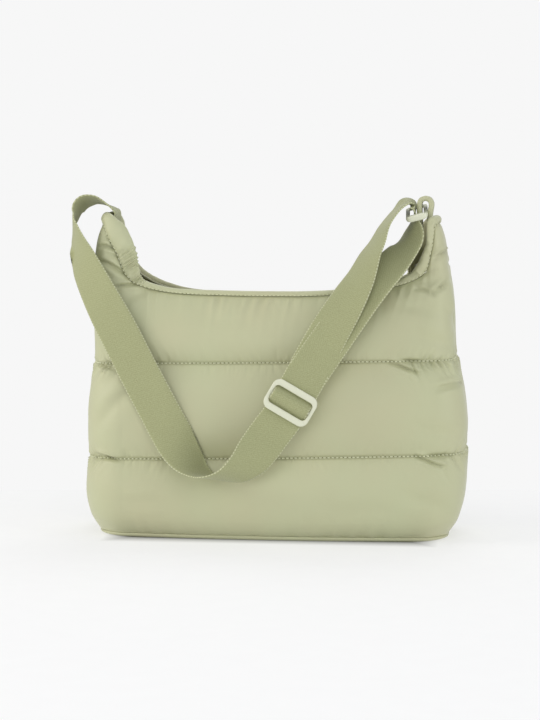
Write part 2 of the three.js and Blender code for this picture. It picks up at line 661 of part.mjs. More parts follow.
// Cloth tab that carries the ring: up inside the ear, over the ring's far bar and down again.
function ringTab() {
  const reach = (RING_HEIGHT - RING_BAR) / 2;
  const bar = RING_AT.clone().add(vec(Math.cos(RING_TILT) * reach, 0, Math.sin(RING_TILT) * reach));
  const round = TAB_ROUND;
  const foot = bar.z - 0.935 * EAR_HEIGHT;
  const line = [
    vec(-round + 1, 0, -foot), vec(-round + 0.5, 0, -foot / 2), vec(-round, 0, 0),
    vec(-round, 0, TAB_SLACK), vec(-round * 0.75, 0, TAB_SLACK + round * 0.7),
    vec(0, 0, TAB_SLACK + round), vec(round * 0.75, 0, TAB_SLACK + round * 0.7),
    vec(round, 0, TAB_SLACK), vec(round - 0.8, 0, 0), vec(round - 1.6, 0, -foot / 3),
    vec(round - 1, 0, -foot),
  ];
  const rings = line.map((point, index) => {
    const ahead = line[Math.min(index + 1, line.length - 1)];
    const behind = line[Math.max(index - 1, 0)];
    const run = ahead.clone().sub(behind).normalize();
    const out = vec(-run.z, 0, run.x).multiplyScalar(TAB_THICK / 2);
    const half = TAB_WIDTH / 2;
    return [
      bar.clone().add(point).add(out).add(vec(0, -half, 0)),
      bar.clone().add(point).add(out).add(vec(0, half, 0)),
      bar.clone().add(point).sub(out).add(vec(0, half, 0)),
      bar.clone().add(point).sub(out).add(vec(0, -half, 0)),
    ];
  });
  return loft(rings);
}

// Zip slider parked on the front teeth near the right ear.
function zipSlider() {
  const place = 17.4;
  const at = rimPlace(place, 0.8, -1);
  const seat = skin(at.share, at.z, -BAND_WALL - GAP, -1);
  const body = new THREE.BoxGeometry(...ZIP_BODY);
  body.translate(seat.x, seat.y + TAPE_WIDTH + ZIP_BODY[1] / 2 + 1, seat.z - TAPE_DROP);
  return mergeBare(body);
}

const group = new THREE.Group();

function add(name, geometry, color, roughness, metalness) {
  const material = new THREE.MeshStandardMaterial({ color, roughness, metalness });
  const mesh = new THREE.Mesh(geometry, material);
  mesh.name = name;
  group.add(mesh);
}

add('front_panel', panel(-1), '#babb97', 0.55, 0);
add('back_panel', panel(1), '#babb97', 0.55, 0);
add('base_panel', basePanel(), '#b4b591', 0.6, 0);
add('front_rim_band', rimBand(-1), '#b6b793', 0.55, 0);
add('back_rim_band', rimBand(1), '#b6b793', 0.55, 0);
add('front_zip_tape', zipTape(-1), '#8f9270', 0.7, 0);
add('back_zip_tape', zipTape(1), '#8f9270', 0.7, 0);
add('zip_slider', zipSlider(), '#8c8d86', 0.35, 1);
add('strap', strap(), '#a8ac80', 0.8, 0);
add('adjuster', adjuster(), '#cfcdb0', 0.45, 0);
add('ring', ring(), '#cfcdb0', 0.45, 0);
add('ring_tab', ringTab(), '#b6b793', 0.6, 0);

export default group;
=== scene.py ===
"""Padded sage tote bag with a webbing strap, dressed around its CAD frame."""
import math

import bmesh
import bpy
from mathutils import Matrix, Vector, noise


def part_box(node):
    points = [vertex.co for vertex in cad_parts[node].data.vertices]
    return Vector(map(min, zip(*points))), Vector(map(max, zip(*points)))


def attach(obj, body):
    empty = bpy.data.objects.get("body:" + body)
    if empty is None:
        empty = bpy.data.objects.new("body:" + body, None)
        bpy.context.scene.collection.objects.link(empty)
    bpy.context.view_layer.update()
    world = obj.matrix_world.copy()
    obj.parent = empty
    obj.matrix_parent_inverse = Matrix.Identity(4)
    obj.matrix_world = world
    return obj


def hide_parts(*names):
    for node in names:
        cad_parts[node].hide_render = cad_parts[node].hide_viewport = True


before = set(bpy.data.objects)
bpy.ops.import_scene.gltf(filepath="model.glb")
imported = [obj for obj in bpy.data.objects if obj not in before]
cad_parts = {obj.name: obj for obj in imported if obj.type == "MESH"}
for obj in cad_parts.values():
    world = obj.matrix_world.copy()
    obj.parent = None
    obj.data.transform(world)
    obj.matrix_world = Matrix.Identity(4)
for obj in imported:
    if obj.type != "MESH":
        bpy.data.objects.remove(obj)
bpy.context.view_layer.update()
MM = 0.001

# Sizes in millimetres
HALF_WIDTH = 191
HALF_DEPTH = 73
EAR_HEIGHT = 325
LOWER_SEAM_Z = 0.2555 * EAR_HEIGHT
UPPER_SEAM_Z = 0.5475 * EAR_HEIGHT
RIM_Z = 0.76 * EAR_HEIGHT
BACK_RIM_DROP = 5
GAP = 0.3
FRONT_BOW = 0.1
FRONT_PUFF = 8
SIDE_PUFF = 2
SEAM_WALL = 3
PAD_WALL = 11
FLAT_SHARE = 0.7
CORNER_SHARE = 0.88
CORNER_PART = 0.6
CORNER_LESS = 4
BASE_FLANGE = 4.5
BASE_PAD = 13
BAND_WALL = 4.4
FRONT_LAP = 0.075
BACK_LAP = 0.09
TAPE_DROP = 3.2
STRAP_WIDTH = 40
STRAP_THICK = 1.8
STRAP_CLEAR = 1.6
LEFT_DRAPE_Z = 0.892 * EAR_HEIGHT
RIGHT_DRAPE_Z = 0.806 * EAR_HEIGHT
DRAPE_FADE = 8
DRAPE_EASE = 0.4
FRAME_BEVEL = 0.9
FRAME_CORNER_STEPS = 8
ADJUSTER_SIDE_PLAY = 0.8
ADJUSTER_END_BAR = 3.5
ADJUSTER_LONG_BAR = 6.5
ADJUSTER_WINDOW = (STRAP_WIDTH + 2 * ADJUSTER_SIDE_PLAY, 19)
ADJUSTER_SIZE = (
    ADJUSTER_WINDOW[0] + 2 * ADJUSTER_END_BAR, ADJUSTER_WINDOW[1] + 2 * ADJUSTER_LONG_BAR,
)
ADJUSTER_THICK = 3
ADJUSTER_CORNER = 8
ADJUSTER_CLEAR = 0.4
ADJUSTER_LIFT = STRAP_THICK / 2 + GAP + ADJUSTER_CLEAR + ADJUSTER_THICK / 2
MIDDLE_BAR_RADIUS = 1.35
RING_BAR = 3.8
RING_END_PLAY = 1.2
RING_SIZE = (STRAP_WIDTH + 2 * RING_BAR + 2 * RING_END_PLAY, 22)
RING_THICK = 3.2
RING_CORNER = 5
# The ring's near end is cast thicker than the rest by this share
RING_LENS = 1.35
RING_AT = Vector((0.745 * HALF_WIDTH, -0.09 * HALF_DEPTH, 0.998 * EAR_HEIGHT))
RING_TILT = math.radians(14)
RING_PITCH = math.radians(12)
TAB_WIDTH = 24
TAB_THICK = 3.6
TAB_PLUMP = 1.4
TAB_FOOT_Z = 0.935 * EAR_HEIGHT
TAB_ROUND = 5.9
TAB_SLACK = 6
STITCH_PITCH = 4.1
STITCH_LENGTH = 2.7
# Rings of a stitch: share of its length, half thickness, share of its lift
STITCH_RINGS = ((0, 0.3, 0.2), (0.2, 0.75, 0.85), (0.5, 0.9, 1.0), (0.8, 0.75, 0.85), (1, 0.3, 0.2))
STITCH_SIDES = 5
# Lift and weight of the stitches on the quilting seams and on the bindings
QUILTING_STITCH = (2.0, 0.85)
BAND_STITCH = (0.6, 0.6)
# Needle holes between the stitches: half length, half width, height and depth
HOLE_SIZE = (0.55, 0.75)
HOLE_SIDES = 6
HOLE_RISE = 0.25
HOLE_SINK = 0.6
TOOTH_PITCH = 1.9
# Rings of a zip tooth: distance across the teeth and half size
TOOTH_RINGS = ((-1.5, 0.5), (-1.0, 0.8), (1.0, 0.8), (1.5, 0.4))
TOOTH_SIDES = 6
TEETH_REACH = 8.4
# Edge of the zip tape: distance over the mouth and lift
TAPE_EDGE = ((0, -0.5), (3, -0.6), (6.6, -0.5), (7.4, 0), (6.6, 0.5), (3, 0.6), (0, 0.5))
# Section of the rim binding: share of its height and distance out of the skin
BAND_SECTION = (
    (0.0, -0.1), (0.06, 0.45), (0.16, 0.85), (0.3, 1.15), (0.5, 1.25), (0.7, 1.1), (0.84, 0.75),
    (0.94, 0.2), (0.99, -0.6), (1.01, -1.6), (0.98, -3.0), (0.85, -4.2), (0.5, -BAND_WALL),
    (0.0, -BAND_WALL),
)
# Section of the base pad: share of the way out from its middle and height
BASE_SECTION = (
    (0.02, 0), (0.5, 0), (0.93, 0), (0.965, 0.3), (0.985, 1.0), (0.997, 2.0), (1.0, 3.2),
    (0.993, BASE_FLANGE), (0.95, BASE_FLANGE), (0.9, 7), (0.84, BASE_PAD * 0.78), (0.6, BASE_PAD),
    (0.3, BASE_PAD), (0.02, BASE_PAD),
)

# Section of the body by height: shares of ear height, half width and half depth, and shift
SECTIONS = (
    (0.0, 0.915, 0.86, 0), (0.06, 0.958, 0.96, -1), (0.14, 0.98, 1.0, -2), (0.255, 0.99, 0.99, -3),
    (0.37, 0.98, 0.96, -3), (0.548, 0.95, 0.83, -1), (0.63, 0.936, 0.72, 0.5),
    (0.76, 0.93, 0.54, 2.5), (0.86, 0.915, 0.48, 4.5), (0.92, 0.905, 0.465, 4.5),
    (1.0, 0.875, 0.455, 4.5),
)
# Upper edge: share on the quilting seams, stitch line's share and height, edge's share and height
ACROSS, STITCH, STITCH_Z, EDGE, EDGE_Z = range(5)
RIM = (
    (-1.0, -1.0, 1.275, -1.0, 1.302), (-0.95, -0.95, 1.278, -0.92, 1.312),
    (-0.9, -0.9, 1.275, -0.83, 1.312), (-0.85, -0.81, 1.258, -0.765, 1.3),
    (-0.8, -0.745, 1.215, -0.715, 1.265), (-0.76, -0.69, 1.16, -0.683, 1.205),
    (-0.72, -0.665, 1.105, -0.657, 1.14), (-0.675, -0.642, 1.06, -0.618, 1.082),
    (-0.62, -0.6, 1.024, -0.565, 1.045), (-0.53, -0.52, 1.0, -0.5, 1.022),
    (-0.4, -0.4, 0.984, -0.4, 1.006), (-0.2, -0.2, 0.978, -0.2, 1.0),
    (0.0, 0.0, 0.976, 0.0, 0.998), (0.2, 0.2, 0.978, 0.2, 1.0), (0.4, 0.4, 0.992, 0.4, 1.014),
    (0.53, 0.53, 1.012, 0.52, 1.034), (0.62, 0.62, 1.036, 0.6, 1.06),
    (0.68, 0.68, 1.066, 0.645, 1.092), (0.72, 0.715, 1.11, 0.675, 1.136),
    (0.76, 0.742, 1.17, 0.7, 1.19), (0.8, 0.768, 1.23, 0.724, 1.25), (0.85, 0.8, 1.262, 0.76, 1.29),
    (0.9, 0.86, 1.272, 0.83, 1.3), (0.95, 0.93, 1.272, 0.92, 1.3), (1.0, 1.0, 1.268, 1.0, 1.292),
)
# Webbing: x, y, z as shares of half width, half depth and ear height, side and turn in degrees
STRAP = (
    (-0.87, 0.0, 0.935, 0, 90), (-0.85, 0.0, 0.985, 0, 90), (-0.857, -0.01, 1.002, 10, 88),
    (-0.912, -0.03, 1.023, 40, 82), (-0.965, -0.06, 1.033, 80, 76), (-1.015, -0.09, 1.029, 88, 72),
    (-1.048, -0.12, 1.013, 90, 70), (-1.066, -0.14, 0.986, 75, 74), (-1.074, -0.18, 0.963, 48, 75),
    (-1.063, -0.24, 0.932, 20, 67), (-1.033, -0.34, 0.882, 14, 53), (-0.993, -0.45, 0.834, 16, 38),
    (-0.932, -0.58, 0.772, 20, 25), (-0.853, -0.72, 0.695, 23, 11), (-0.775, -0.85, 0.621, 26, 2),
    (-0.66, -0.98, 0.501, 27, 0), (-0.57, -1.06, 0.409, 25, 0), (-0.492, -1.12, 0.33, 19, -8),
    (-0.425, -1.16, 0.268, 14, -32), (-0.362, -1.22, 0.226, 8, -56), (-0.298, -1.31, 0.206, -12, -66),
    (-0.235, -1.41, 0.205, -32, -62), (-0.157, -1.49, 0.22, -32, -48), (-0.085, -1.5, 0.255, -25, -33),
    (-0.026, -1.44, 0.299, -23, -16), (0.03, -1.36, 0.345, -26, -4),
)
STRAP_UP = (
    (0.262, -1.12, 0.58, -28, 4), (0.33, -1.03, 0.655, -24, 14), (0.39, -0.94, 0.717, -20, 24),
    (0.435, -0.85, 0.766, -20, 36), (0.472, -0.73, 0.812, -16, 48), (0.508, -0.58, 0.868, -12, 60),
    (0.543, -0.45, 0.91, -10, 68), (0.585, -0.32, 0.962, -8, 76), (0.65, -0.18, 1.009, -20, 82),
    (0.702, -0.1, 1.027, -90, 78), (0.73, -0.09, 1.018, -90, 78), (0.733, -0.09, 0.989, -70, 82),
    (0.716, -0.16, 0.947, 0, 70), (0.697, -0.34, 0.902, -4, 44), (0.645, -0.5, 0.86, -10, 32),
    (0.598, -0.64, 0.827, -14, 26), (0.532, -0.8, 0.783, -18, 22), (0.462, -0.9, 0.731, -22, 18),
)
ADJUSTER_AT = (0.13, -1.3, 0.434, -30, 0)
ADJUSTER_LEAN = math.radians(8)
# How the webbing weaves through the adjuster: distance along the strap and lift over its seat
WEAVE = (
    (-17, 0), (-11, 0), (-8, 0.7), (-5.2, 3.6), (-2.6, 6), (0, 6.4), (2.6, 6), (5.2, 3.6),
    (8, 0.7), (11, 0), (17, 0),
)
TUCK = ((34, -2.6), (18, -2.5), (9, -1.7), (4, -0.1), (-2.5, 0))
# How far the upper strand lies over the one that comes back under it, and that one behind it
UPPER_OVER = 2.4
LOWER_BEHIND = 1.3

# Camera, light and floor, in metres and watts unless another unit is named
SENSOR = 36
PICTURE_HEIGHT = 720
# Millimetres at the bag to one pixel of the picture
PIXEL_SIZE = 1.015
CAMERA_AZIMUTH = math.radians(6.5)
CAMERA_ELEVATION = math.radians(4.9)
CAMERA_DISTANCE = 2.2
CAMERA_TARGET = Vector((-0.006, 0, 0.1745))
LIGHT_TARGET = Vector((0, 0, 0.17))
# Name, place, size, power and colour
LIGHTS = (
    ("key", (-2.0, -0.5, 1.0), 1.0, 17.5, "#fffbf5"),
    ("front", (0.3, -1.9, 1.3), 1.5, 8, "#fbfcff"),
    ("right", (2.0, -0.7, 0.9), 1.2, 11, "#fbfcff"),
    ("low", (-0.9, -1.8, 0.25), 1.2, 5, "#ffffff"),
    ("back", (0.2, 1.1, 1.9), 1.2, 9, "#ffffff"),
)
FLOOR_SIZE = (12, 8)
FLOOR_FAR_EDGE = 0.283
# Where the painted shade under the bag fades out, along its width and its depth
SHADE_ENDS = (0.14, 0.168)
SHADE_SIDES = (0.056, 0.085)


# The body's surface
def column(rows, key, at):
    """One column of a table as a smooth curve through its rows."""
    last = len(rows) - 1
    row = max(0, min(int(at), last - 1))
    t = at - row
    p0, p1 = rows[max(row - 1, 0)][key], rows[row][key]
    p2, p3 = rows[row + 1][key], rows[min(row + 2, last)][key]
    return p1 + 0.5 * (
        (p2 - p0) * t + (2 * p0 - 5 * p1 + 4 * p2 - p3) * t * t + (3 * p1 - p0 - 3 * p2 + p3) * t**3
    )


def place_of(share):
    """Row place in RIM where the seam share is this."""
    low, high = 0.0, float(len(RIM) - 1)
    for _ in range(30):
        middle = (low + high) / 2
        if column(RIM, ACROSS, middle) < share:
            low = middle
        else:
            high = middle
    return (low + high) / 2


def section_at(z):
    """Half width, half depth, corner, side depth and shift of the body at a height."""
    share = min(max(z / EAR_HEIGHT, 0), 1)
    row = 0
    while row < len(SECTIONS) - 2 and SECTIONS[row + 1][0] < share:
        row += 1
    at = row + (share - SECTIONS[row][0]) / (SECTIONS[row + 1][0] - SECTIONS[row][0])
    width = column(SECTIONS, 1, at) * HALF_WIDTH
    depth = column(SECTIONS, 2, at) * HALF_DEPTH
    corner = CORNER_PART * depth - CORNER_LESS
    return width, depth, corner, depth * (1 - FRONT_BOW), -column(SECTIONS, 3, at)


def skin(share, z, out, face):
    """Point of the skin on one half of the girth, share -1..1, front for face -1."""
    width, depth, corner, side_depth, shift = section_at(z)
    flat = width - corner
    size = abs(share)
    side = 1 if share >= 0 else -1
    if size <= FLAT_SHARE:
        part = size / FLAT_SHARE
        x = flat * part
        y = depth * (1 - FRONT_BOW * part * part) + out
    elif size <= CORNER_SHARE:
        angle = (size - FLAT_SHARE) / (CORNER_SHARE - FLAT_SHARE) * math.pi / 2
        x = flat + (corner + out) * math.sin(angle)
        y = side_depth - corner + (corner + out) * math.cos(angle)
    else:
        part = (1 - size) / (1 - CORNER_SHARE)
        x = width + out
        y = (side_depth - corner) * part
    return Vector((shift + side * x, face * (y + GAP / 2), z))


def puff_at(band, size):
    """How far the padding swells at a share of its band's height and of the girth."""
    return (FRONT_PUFF + (SIDE_PUFF - FRONT_PUFF) * size**4) * math.sin(math.pi * band) ** 0.6


def band_share(z):
    """Share of the band's height at this height of the body."""
    if z < LOWER_SEAM_Z:
        return max(z / LOWER_SEAM_Z, 0)
    if z < UPPER_SEAM_Z:
        return (z - LOWER_SEAM_Z) / (UPPER_SEAM_Z - LOWER_SEAM_Z)
    return min((z - UPPER_SEAM_Z) / (RIM_Z - UPPER_SEAM_Z), 1)


def front_depth(x, z):
    """How far the front skin stands at a place seen from the front."""
    width, depth, corner, side_depth, shift = section_at(z)
    flat = width - corner
    reach = abs(x - shift)
    puff = puff_at(band_share(z), min(reach / width, 1))
    if reach <= flat:
        return depth * (1 - FRONT_BOW * (reach / flat) ** 2) + puff
    over = min((reach - flat) / (corner + puff), 1)
    return side_depth - corner + (corner + puff) * math.sqrt(1 - over * over)


def smooth_step(value, low, high):
    """0 below low, 1 above high and a soft curve between."""
    t = min(max((value - low) / (high - low), 0), 1)
    return t * t * (3 - 2 * t)


def ear_lap(place, face):
    """How far the front binding laps over the mouth at the left ear, the back one at the right."""
    across = column(RIM, ACROSS, place) * face
    grown = smooth_step(across, 0.6, 0.74) * (1 - smooth_step(across, 0.72, 0.92))
    return face * (FRONT_LAP if face < 0 else BACK_LAP) * grown


def rim_place(place, rise, face):
    """Share and height on the rim: rise 0 is the stitch line and 1 the top edge."""
    edge = column(RIM, EDGE, place) - ear_lap(place, face)
    share = column(RIM, STITCH, place) * (1 - rise) + edge * rise
    z = (column(RIM, STITCH_Z, place) * (1 - rise) + column(RIM, EDGE_Z, place) * rise) * RIM_Z
    return share, z - rim_drop(place, face)


def rim_drop(place, face):
    """How far the back rim hangs under the front one."""
    middle = max(0, 1 - abs(column(RIM, ACROSS, place)) / 0.6)
    return BACK_RIM_DROP * min(1, 2 * middle) if face > 0 else 0


# Mesh helpers
def mesh_piece(name, points, faces):
    """A new smooth piece from points in millimetres."""
    mesh = bpy.data.meshes.new(name)
    mesh.from_pydata([tuple(p * MM) for p in points], [], faces)
    mesh.update()
    mesh.shade_smooth()
    piece = bpy.data.objects.new(name, mesh)
    bpy.context.scene.collection.objects.link(piece)
    return piece


def outward(piece):
    """Turns the piece's faces outwards."""
    work = bmesh.new()
    work.from_mesh(piece.data)
    bmesh.ops.recalc_face_normals(work, faces=work.faces)
    if work.calc_volume(signed=True) < 0:
        bmesh.ops.reverse_faces(work, faces=work.faces)
    work.to_mesh(piece.data)
    work.free()
    return piece


def tube_faces(base, sides, rings):
    """Faces of a closed tube whose rings of points follow each other from the point base."""
    faces = []
    for ring in range(rings - 1):
        for turn in range(sides):
            a = base + ring * sides + turn
            b = base + ring * sides + (turn + 1) % sides
            faces.append((a, b, b + sides, a + sides))
    end = base + (rings - 1) * sides
    faces.append(tuple(reversed(range(base, base + sides))))
    faces.append(tuple(range(end, end + sides)))
    return faces


def loft(name, rings, uv_sizes=None):
    """Closed body through rings with the same number of points. uv_sizes are the lengths round a
    ring and along the rings, for the UV map."""
    count = len(rings[0])
    points = [p for ring in rings for p in ring]
    piece = mesh_piece(name, points, tube_faces(0, count, len(rings)))
    if uv_sizes:
        layer = piece.data.uv_layers.new(name="UVMap")
        across, along = uv_sizes
        for face in piece.data.polygons:
            for corner, vertex in zip(face.loop_indices, face.vertices):
                layer.data[corner].uv = (across[vertex % count], along[vertex // count])
    return outward(piece)


def finish_piece(piece, materials, node):
    """Gives the piece its finishes and its body, and hides the CAD node that it stands for."""
    for material in materials:
        piece.data.materials.append(material)
    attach(piece, "root")
    if node:
        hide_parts(node)


def only(piece):
    """Selects this piece and nothing else."""
    bpy.ops.object.select_all(action="DESELECT")
    piece.select_set(True)
    bpy.context.view_layer.objects.active = piece


# Materials
def linear(hex_colour):
    """sRGB hex to a linear colour."""
    parts = [int(hex_colour[i : i + 2], 16) / 255 for i in (1, 3, 5)]
    return tuple(p / 12.92 if p <= 0.04045 else ((p + 0.055) / 1.055) ** 2.4 for p in parts) + (1.0,)


def add_node(tree, kind, values=None, links=None, **settings):
    """A node with its settings, socket values and incoming links."""
    item = tree.nodes.new(kind)
    for name, value in settings.items():
        setattr(item, name, value)
    for socket, value in (values or {}).items():
        item.inputs[socket].default_value = value
    for socket, source in (links or {}).items():
        tree.links.new(source, item.inputs[socket])
    return item


def new_material(name):
    """A material with its node tree and its shader."""
    material = bpy.data.materials.new(name)
    material.use_nodes = True
    tree = material.node_tree
    return material, tree, tree.nodes["Principled BSDF"]


def shell_nylon():
    """Woven polyamide taffeta with a soft satin face: even colour, long soft highlights."""
    material, tree, shader = new_material("satin polyamide taffeta")
    where = add_node(tree, "ShaderNodeTexCoord").outputs["Object"]
    # Slow change of dye and nap over about 90 mm
    cloud = add_node(tree, "ShaderNodeTexNoise", {"Scale": 11, "Detail": 3, "Roughness": 0.5},
                     {"Vector": where})
    tint = add_node(tree, "ShaderNodeMix", {6: linear("#bab592"), 7: linear("#bac09a")},
                    {0: cloud.outputs["Fac"]}, data_type="RGBA")
    tree.links.new(tint.outputs[2], shader.inputs["Base Color"])
    # Threads are 0.15 mm apart on the real cloth, drawn 1.4 mm apart so that they show
    threads = {"Scale": 230, "Distortion": 0.6, "Detail": 1}
    warp = add_node(tree, "ShaderNodeTexWave", threads, {"Vector": where}, bands_direction="X")
    weft = add_node(tree, "ShaderNodeTexWave", threads, {"Vector": where}, bands_direction="Z")
    weave = add_node(tree, "ShaderNodeMath", None, {0: warp.outputs["Fac"], 1: weft.outputs["Fac"]},
                     operation="MULTIPLY")
    # Thicker places in the yarn, about 6 mm apart
    slub = add_node(tree, "ShaderNodeTexNoise", {"Scale": 160, "Detail": 3}, {"Vector": where})
    relief = add_node(tree, "ShaderNodeMath", None, {0: weave.outputs[0], 1: slub.outputs["Fac"]},
                      operation="ADD")
    bump = add_node(tree, "ShaderNodeBump", {"Strength": 0.10, "Distance": 0.0004},
                    {"Height": relief.outputs[0]})
    tree.links.new(bump.outputs[0], shader.inputs["Normal"])
    rough = add_node(tree, "ShaderNodeMapRange", {"To Min": 0.5, "To Max": 0.6},
                     {"Value": cloud.outputs["Fac"]})
    tree.links.new(rough.outputs[0], shader.inputs["Roughness"])
    shader.inputs["Sheen Weight"].default_value = 0.25
    shader.inputs["Sheen Roughness"].default_value = 0.4
    shader.inputs["IOR"].default_value = 1.53
    return material


def lining_polyester():
    """Plain woven polyester lining: matt, a little greyer than the shell."""
    material, tree, shader = new_material("woven polyester lining")
    where = add_node(tree, "ShaderNodeTexCoord").outputs["Object"]
    # Slow change of dye over 40 mm
    cloud = add_node(tree, "ShaderNodeTexNoise", {"Scale": 25, "Detail": 4}, {"Vector": where})
    tint = add_node(tree, "ShaderNodeMix", {6: linear("#a9a68c"), 7: linear("#bdb9a0")},
                    {0: cloud.outputs["Fac"]}, data_type="RGBA")
    tree.links.new(tint.outputs[2], shader.inputs["Base Color"])
    # Threads are 0.3 mm apart on the real cloth, drawn 1.3 mm apart so that they show
    threads = add_node(tree, "ShaderNodeTexWave", {"Scale": 250, "Distortion": 1.0},
                       {"Vector": where}, bands_direction="Z")
    bump = add_node(tree, "ShaderNodeBump", {"Strength": 0.15, "Distance": 0.0003},
                    {"Height": threads.outputs["Fac"]})
    tree.links.new(bump.outputs[0], shader.inputs["Normal"])
    shader.inputs["Roughness"].default_value = 0.75
    return material


def twill_webbing():
    """Polyester webbing in a fine twill: matt, with slanting ribs and a paler selvedge."""
    material, tree, shader = new_material("twill polyester webbing")
    # UV is in millimetres: across the webbing and along it
    uv = add_node(tree, "ShaderNodeTexCoord").outputs["UV"]
    # Ribs are about 1.9 mm apart, and the specks of the yarn about 1.3 mm
    ribs = add_node(tree, "ShaderNodeTexWave",
                    {"Scale": 0.24, "Distortion": 0.5, "Detail": 2, "Detail Scale": 1.5},
                    {"Vector": uv}, bands_direction="DIAGONAL")
    speck = add_node(tree, "ShaderNodeTexNoise", {"Scale": 0.8, "Detail": 4, "Roughness": 0.95},
                     {"Vector": uv})
    mixed = add_node(tree, "ShaderNodeMath", {1: 0.06},
                     {0: ribs.outputs["Fac"], 2: speck.outputs["Fac"]}, operation="MULTIPLY_ADD")
    tone = add_node(tree, "ShaderNodeMapRange", {"From Min": 0.42, "From Max": 0.66},
                    {"Value": mixed.outputs[0]})
    body = add_node(tree, "ShaderNodeMix", {6: linear("#8c8d62"), 7: linear("#aeb187")},
                    {0: tone.outputs[0]}, data_type="RGBA")
    # Wear changes over about 20 mm
    cloud = add_node(tree, "ShaderNodeTexNoise", {"Scale": 0.05, "Detail": 2}, {"Vector": uv})
    shade = add_node(tree, "ShaderNodeMapRange", {"To Min": 0.0, "To Max": 0.35},
                     {"Value": cloud.outputs["Fac"]})
    worn = add_node(tree, "ShaderNodeMix", {7: linear("#a9ad80")},
                    {0: shade.outputs[0], 6: body.outputs[2]}, data_type="RGBA")
    # The selvedge's outer 1 mm shows a pale knot every 3 mm
    half = STRAP_WIDTH / 2
    split = add_node(tree, "ShaderNodeSeparateXYZ", None, {"Vector": uv})
    aside = add_node(tree, "ShaderNodeMath", {1: half}, {0: split.outputs["X"]}, operation="SUBTRACT")
    reach = add_node(tree, "ShaderNodeMath", None, {0: aside.outputs[0]}, operation="ABSOLUTE")
    edge = add_node(tree, "ShaderNodeMapRange", {"From Min": half - 1.0, "From Max": half - 0.5},
                    {"Value": reach.outputs[0]})
    dashes = add_node(tree, "ShaderNodeTexWave", {"Scale": 0.1}, {"Vector": uv}, bands_direction="Y")
    knots = add_node(tree, "ShaderNodeMath", None, {0: edge.outputs[0], 1: dashes.outputs["Fac"]},
                     operation="MULTIPLY")
    selvedge = add_node(tree, "ShaderNodeMix", {7: linear("#c9cba6")},
                        {0: knots.outputs[0], 6: worn.outputs[2]}, data_type="RGBA")
    tree.links.new(selvedge.outputs[2], shader.inputs["Base Color"])
    bump = add_node(tree, "ShaderNodeBump", {"Strength": 0.35, "Distance": 0.0004},
                    {"Height": mixed.outputs[0]})
    tree.links.new(bump.outputs[0], shader.inputs["Normal"])
    shader.inputs["Roughness"].default_value = 0.78
    shader.inputs["Sheen Weight"].default_value = 0.2
    return material


def sewing_thread():
    """Corespun polyester thread: slightly glossy, a shade paler than the cloth."""
    material, tree, shader = new_material("corespun polyester thread")
    where = add_node(tree, "ShaderNodeTexCoord").outputs["Object"]
    # One twist of the thread takes 0.9 mm
    twist = add_node(tree, "ShaderNodeTexWave", {"Scale": 420}, {"Vector": where},
                     bands_direction="DIAGONAL")
    tint = add_node(tree, "ShaderNodeMix", {6: linear("#c6c8a4"), 7: linear("#dcdec2")},
                    {0: twist.outputs["Fac"]}, data_type="RGBA")
    tree.links.new(tint.outputs[2], shader.inputs["Base Color"])
    shader.inputs["Roughness"].default_value = 0.5
    return material


def painted_hole_shade():
    """Cloth drawn in where the needle went through: the same taffeta, darkened with painted shade for
    the shade that falls in the hole.
    """
    material, tree, shader = new_material("taffeta with painted hole shade")
    where = add_node(tree, "ShaderNodeTexCoord").outputs["Object"]
    # The painted shade changes from hole to hole, over about 5 mm
    grain = add_node(tree, "ShaderNodeTexNoise", {"Scale": 200, "Detail": 2}, {"Vector": where})
    tint = add_node(tree, "ShaderNodeMix", {6: linear("#74744f"), 7: linear("#94956c")},
                    {0: grain.outputs["Fac"]}, data_type="RGBA")
    tree.links.new(tint.outputs[2], shader.inputs["Base Color"])
    shader.inputs["Roughness"].default_value = 0.8
    return material


def satin_enamel():
    """Satin enamel baked on cast zinc alloy: smooth, faintly uneven, soft highlights."""
    material, tree, shader = new_material("satin enamel on zinc")
    where = add_node(tree, "ShaderNodeTexCoord").outputs["Object"]
    # The baked skin is uneven over about 1 mm
    peel = add_node(tree, "ShaderNodeTexNoise", {"Scale": 900, "Detail": 2}, {"Vector": where})
    tint = add_node(tree, "ShaderNodeMix", {6: linear("#d3d4bb"), 7: linear("#dcdec7")},
                    {0: peel.outputs["Fac"]}, data_type="RGBA")
    tree.links.new(tint.outputs[2], shader.inputs["Base Color"])
    bump = add_node(tree, "ShaderNodeBump", {"Strength": 0.05, "Distance": 0.0002},
                    {"Height": peel.outputs["Fac"]})
    tree.links.new(bump.outputs[0], shader.inputs["Normal"])
    shader.inputs["Roughness"].default_value = 0.42
    shader.inputs["Coat Weight"].default_value = 0.15
    shader.inputs["Coat Roughness"].default_value = 0.3
    return material


def zip_coil():
    """Spun nylon zip coil: smooth plastic, sage."""
    material, tree, shader = new_material("spun nylon zip coil")
    where = add_node(tree, "ShaderNodeTexCoord").outputs["Object"]
    # The shade changes over about 3 mm, from tooth to tooth
    grain = add_node(tree, "ShaderNodeTexNoise", {"Scale": 300, "Detail": 2}, {"Vector": where})
    tint = add_node(tree, "ShaderNodeMix", {6: linear("#8b8e6c"), 7: linear("#a3a684")},
                    {0: grain.outputs["Fac"]}, data_type="RGBA")
    tree.links.new(tint.outputs[2], shader.inputs["Base Color"])
    shader.inputs["Roughness"].default_value = 0.4
    return material


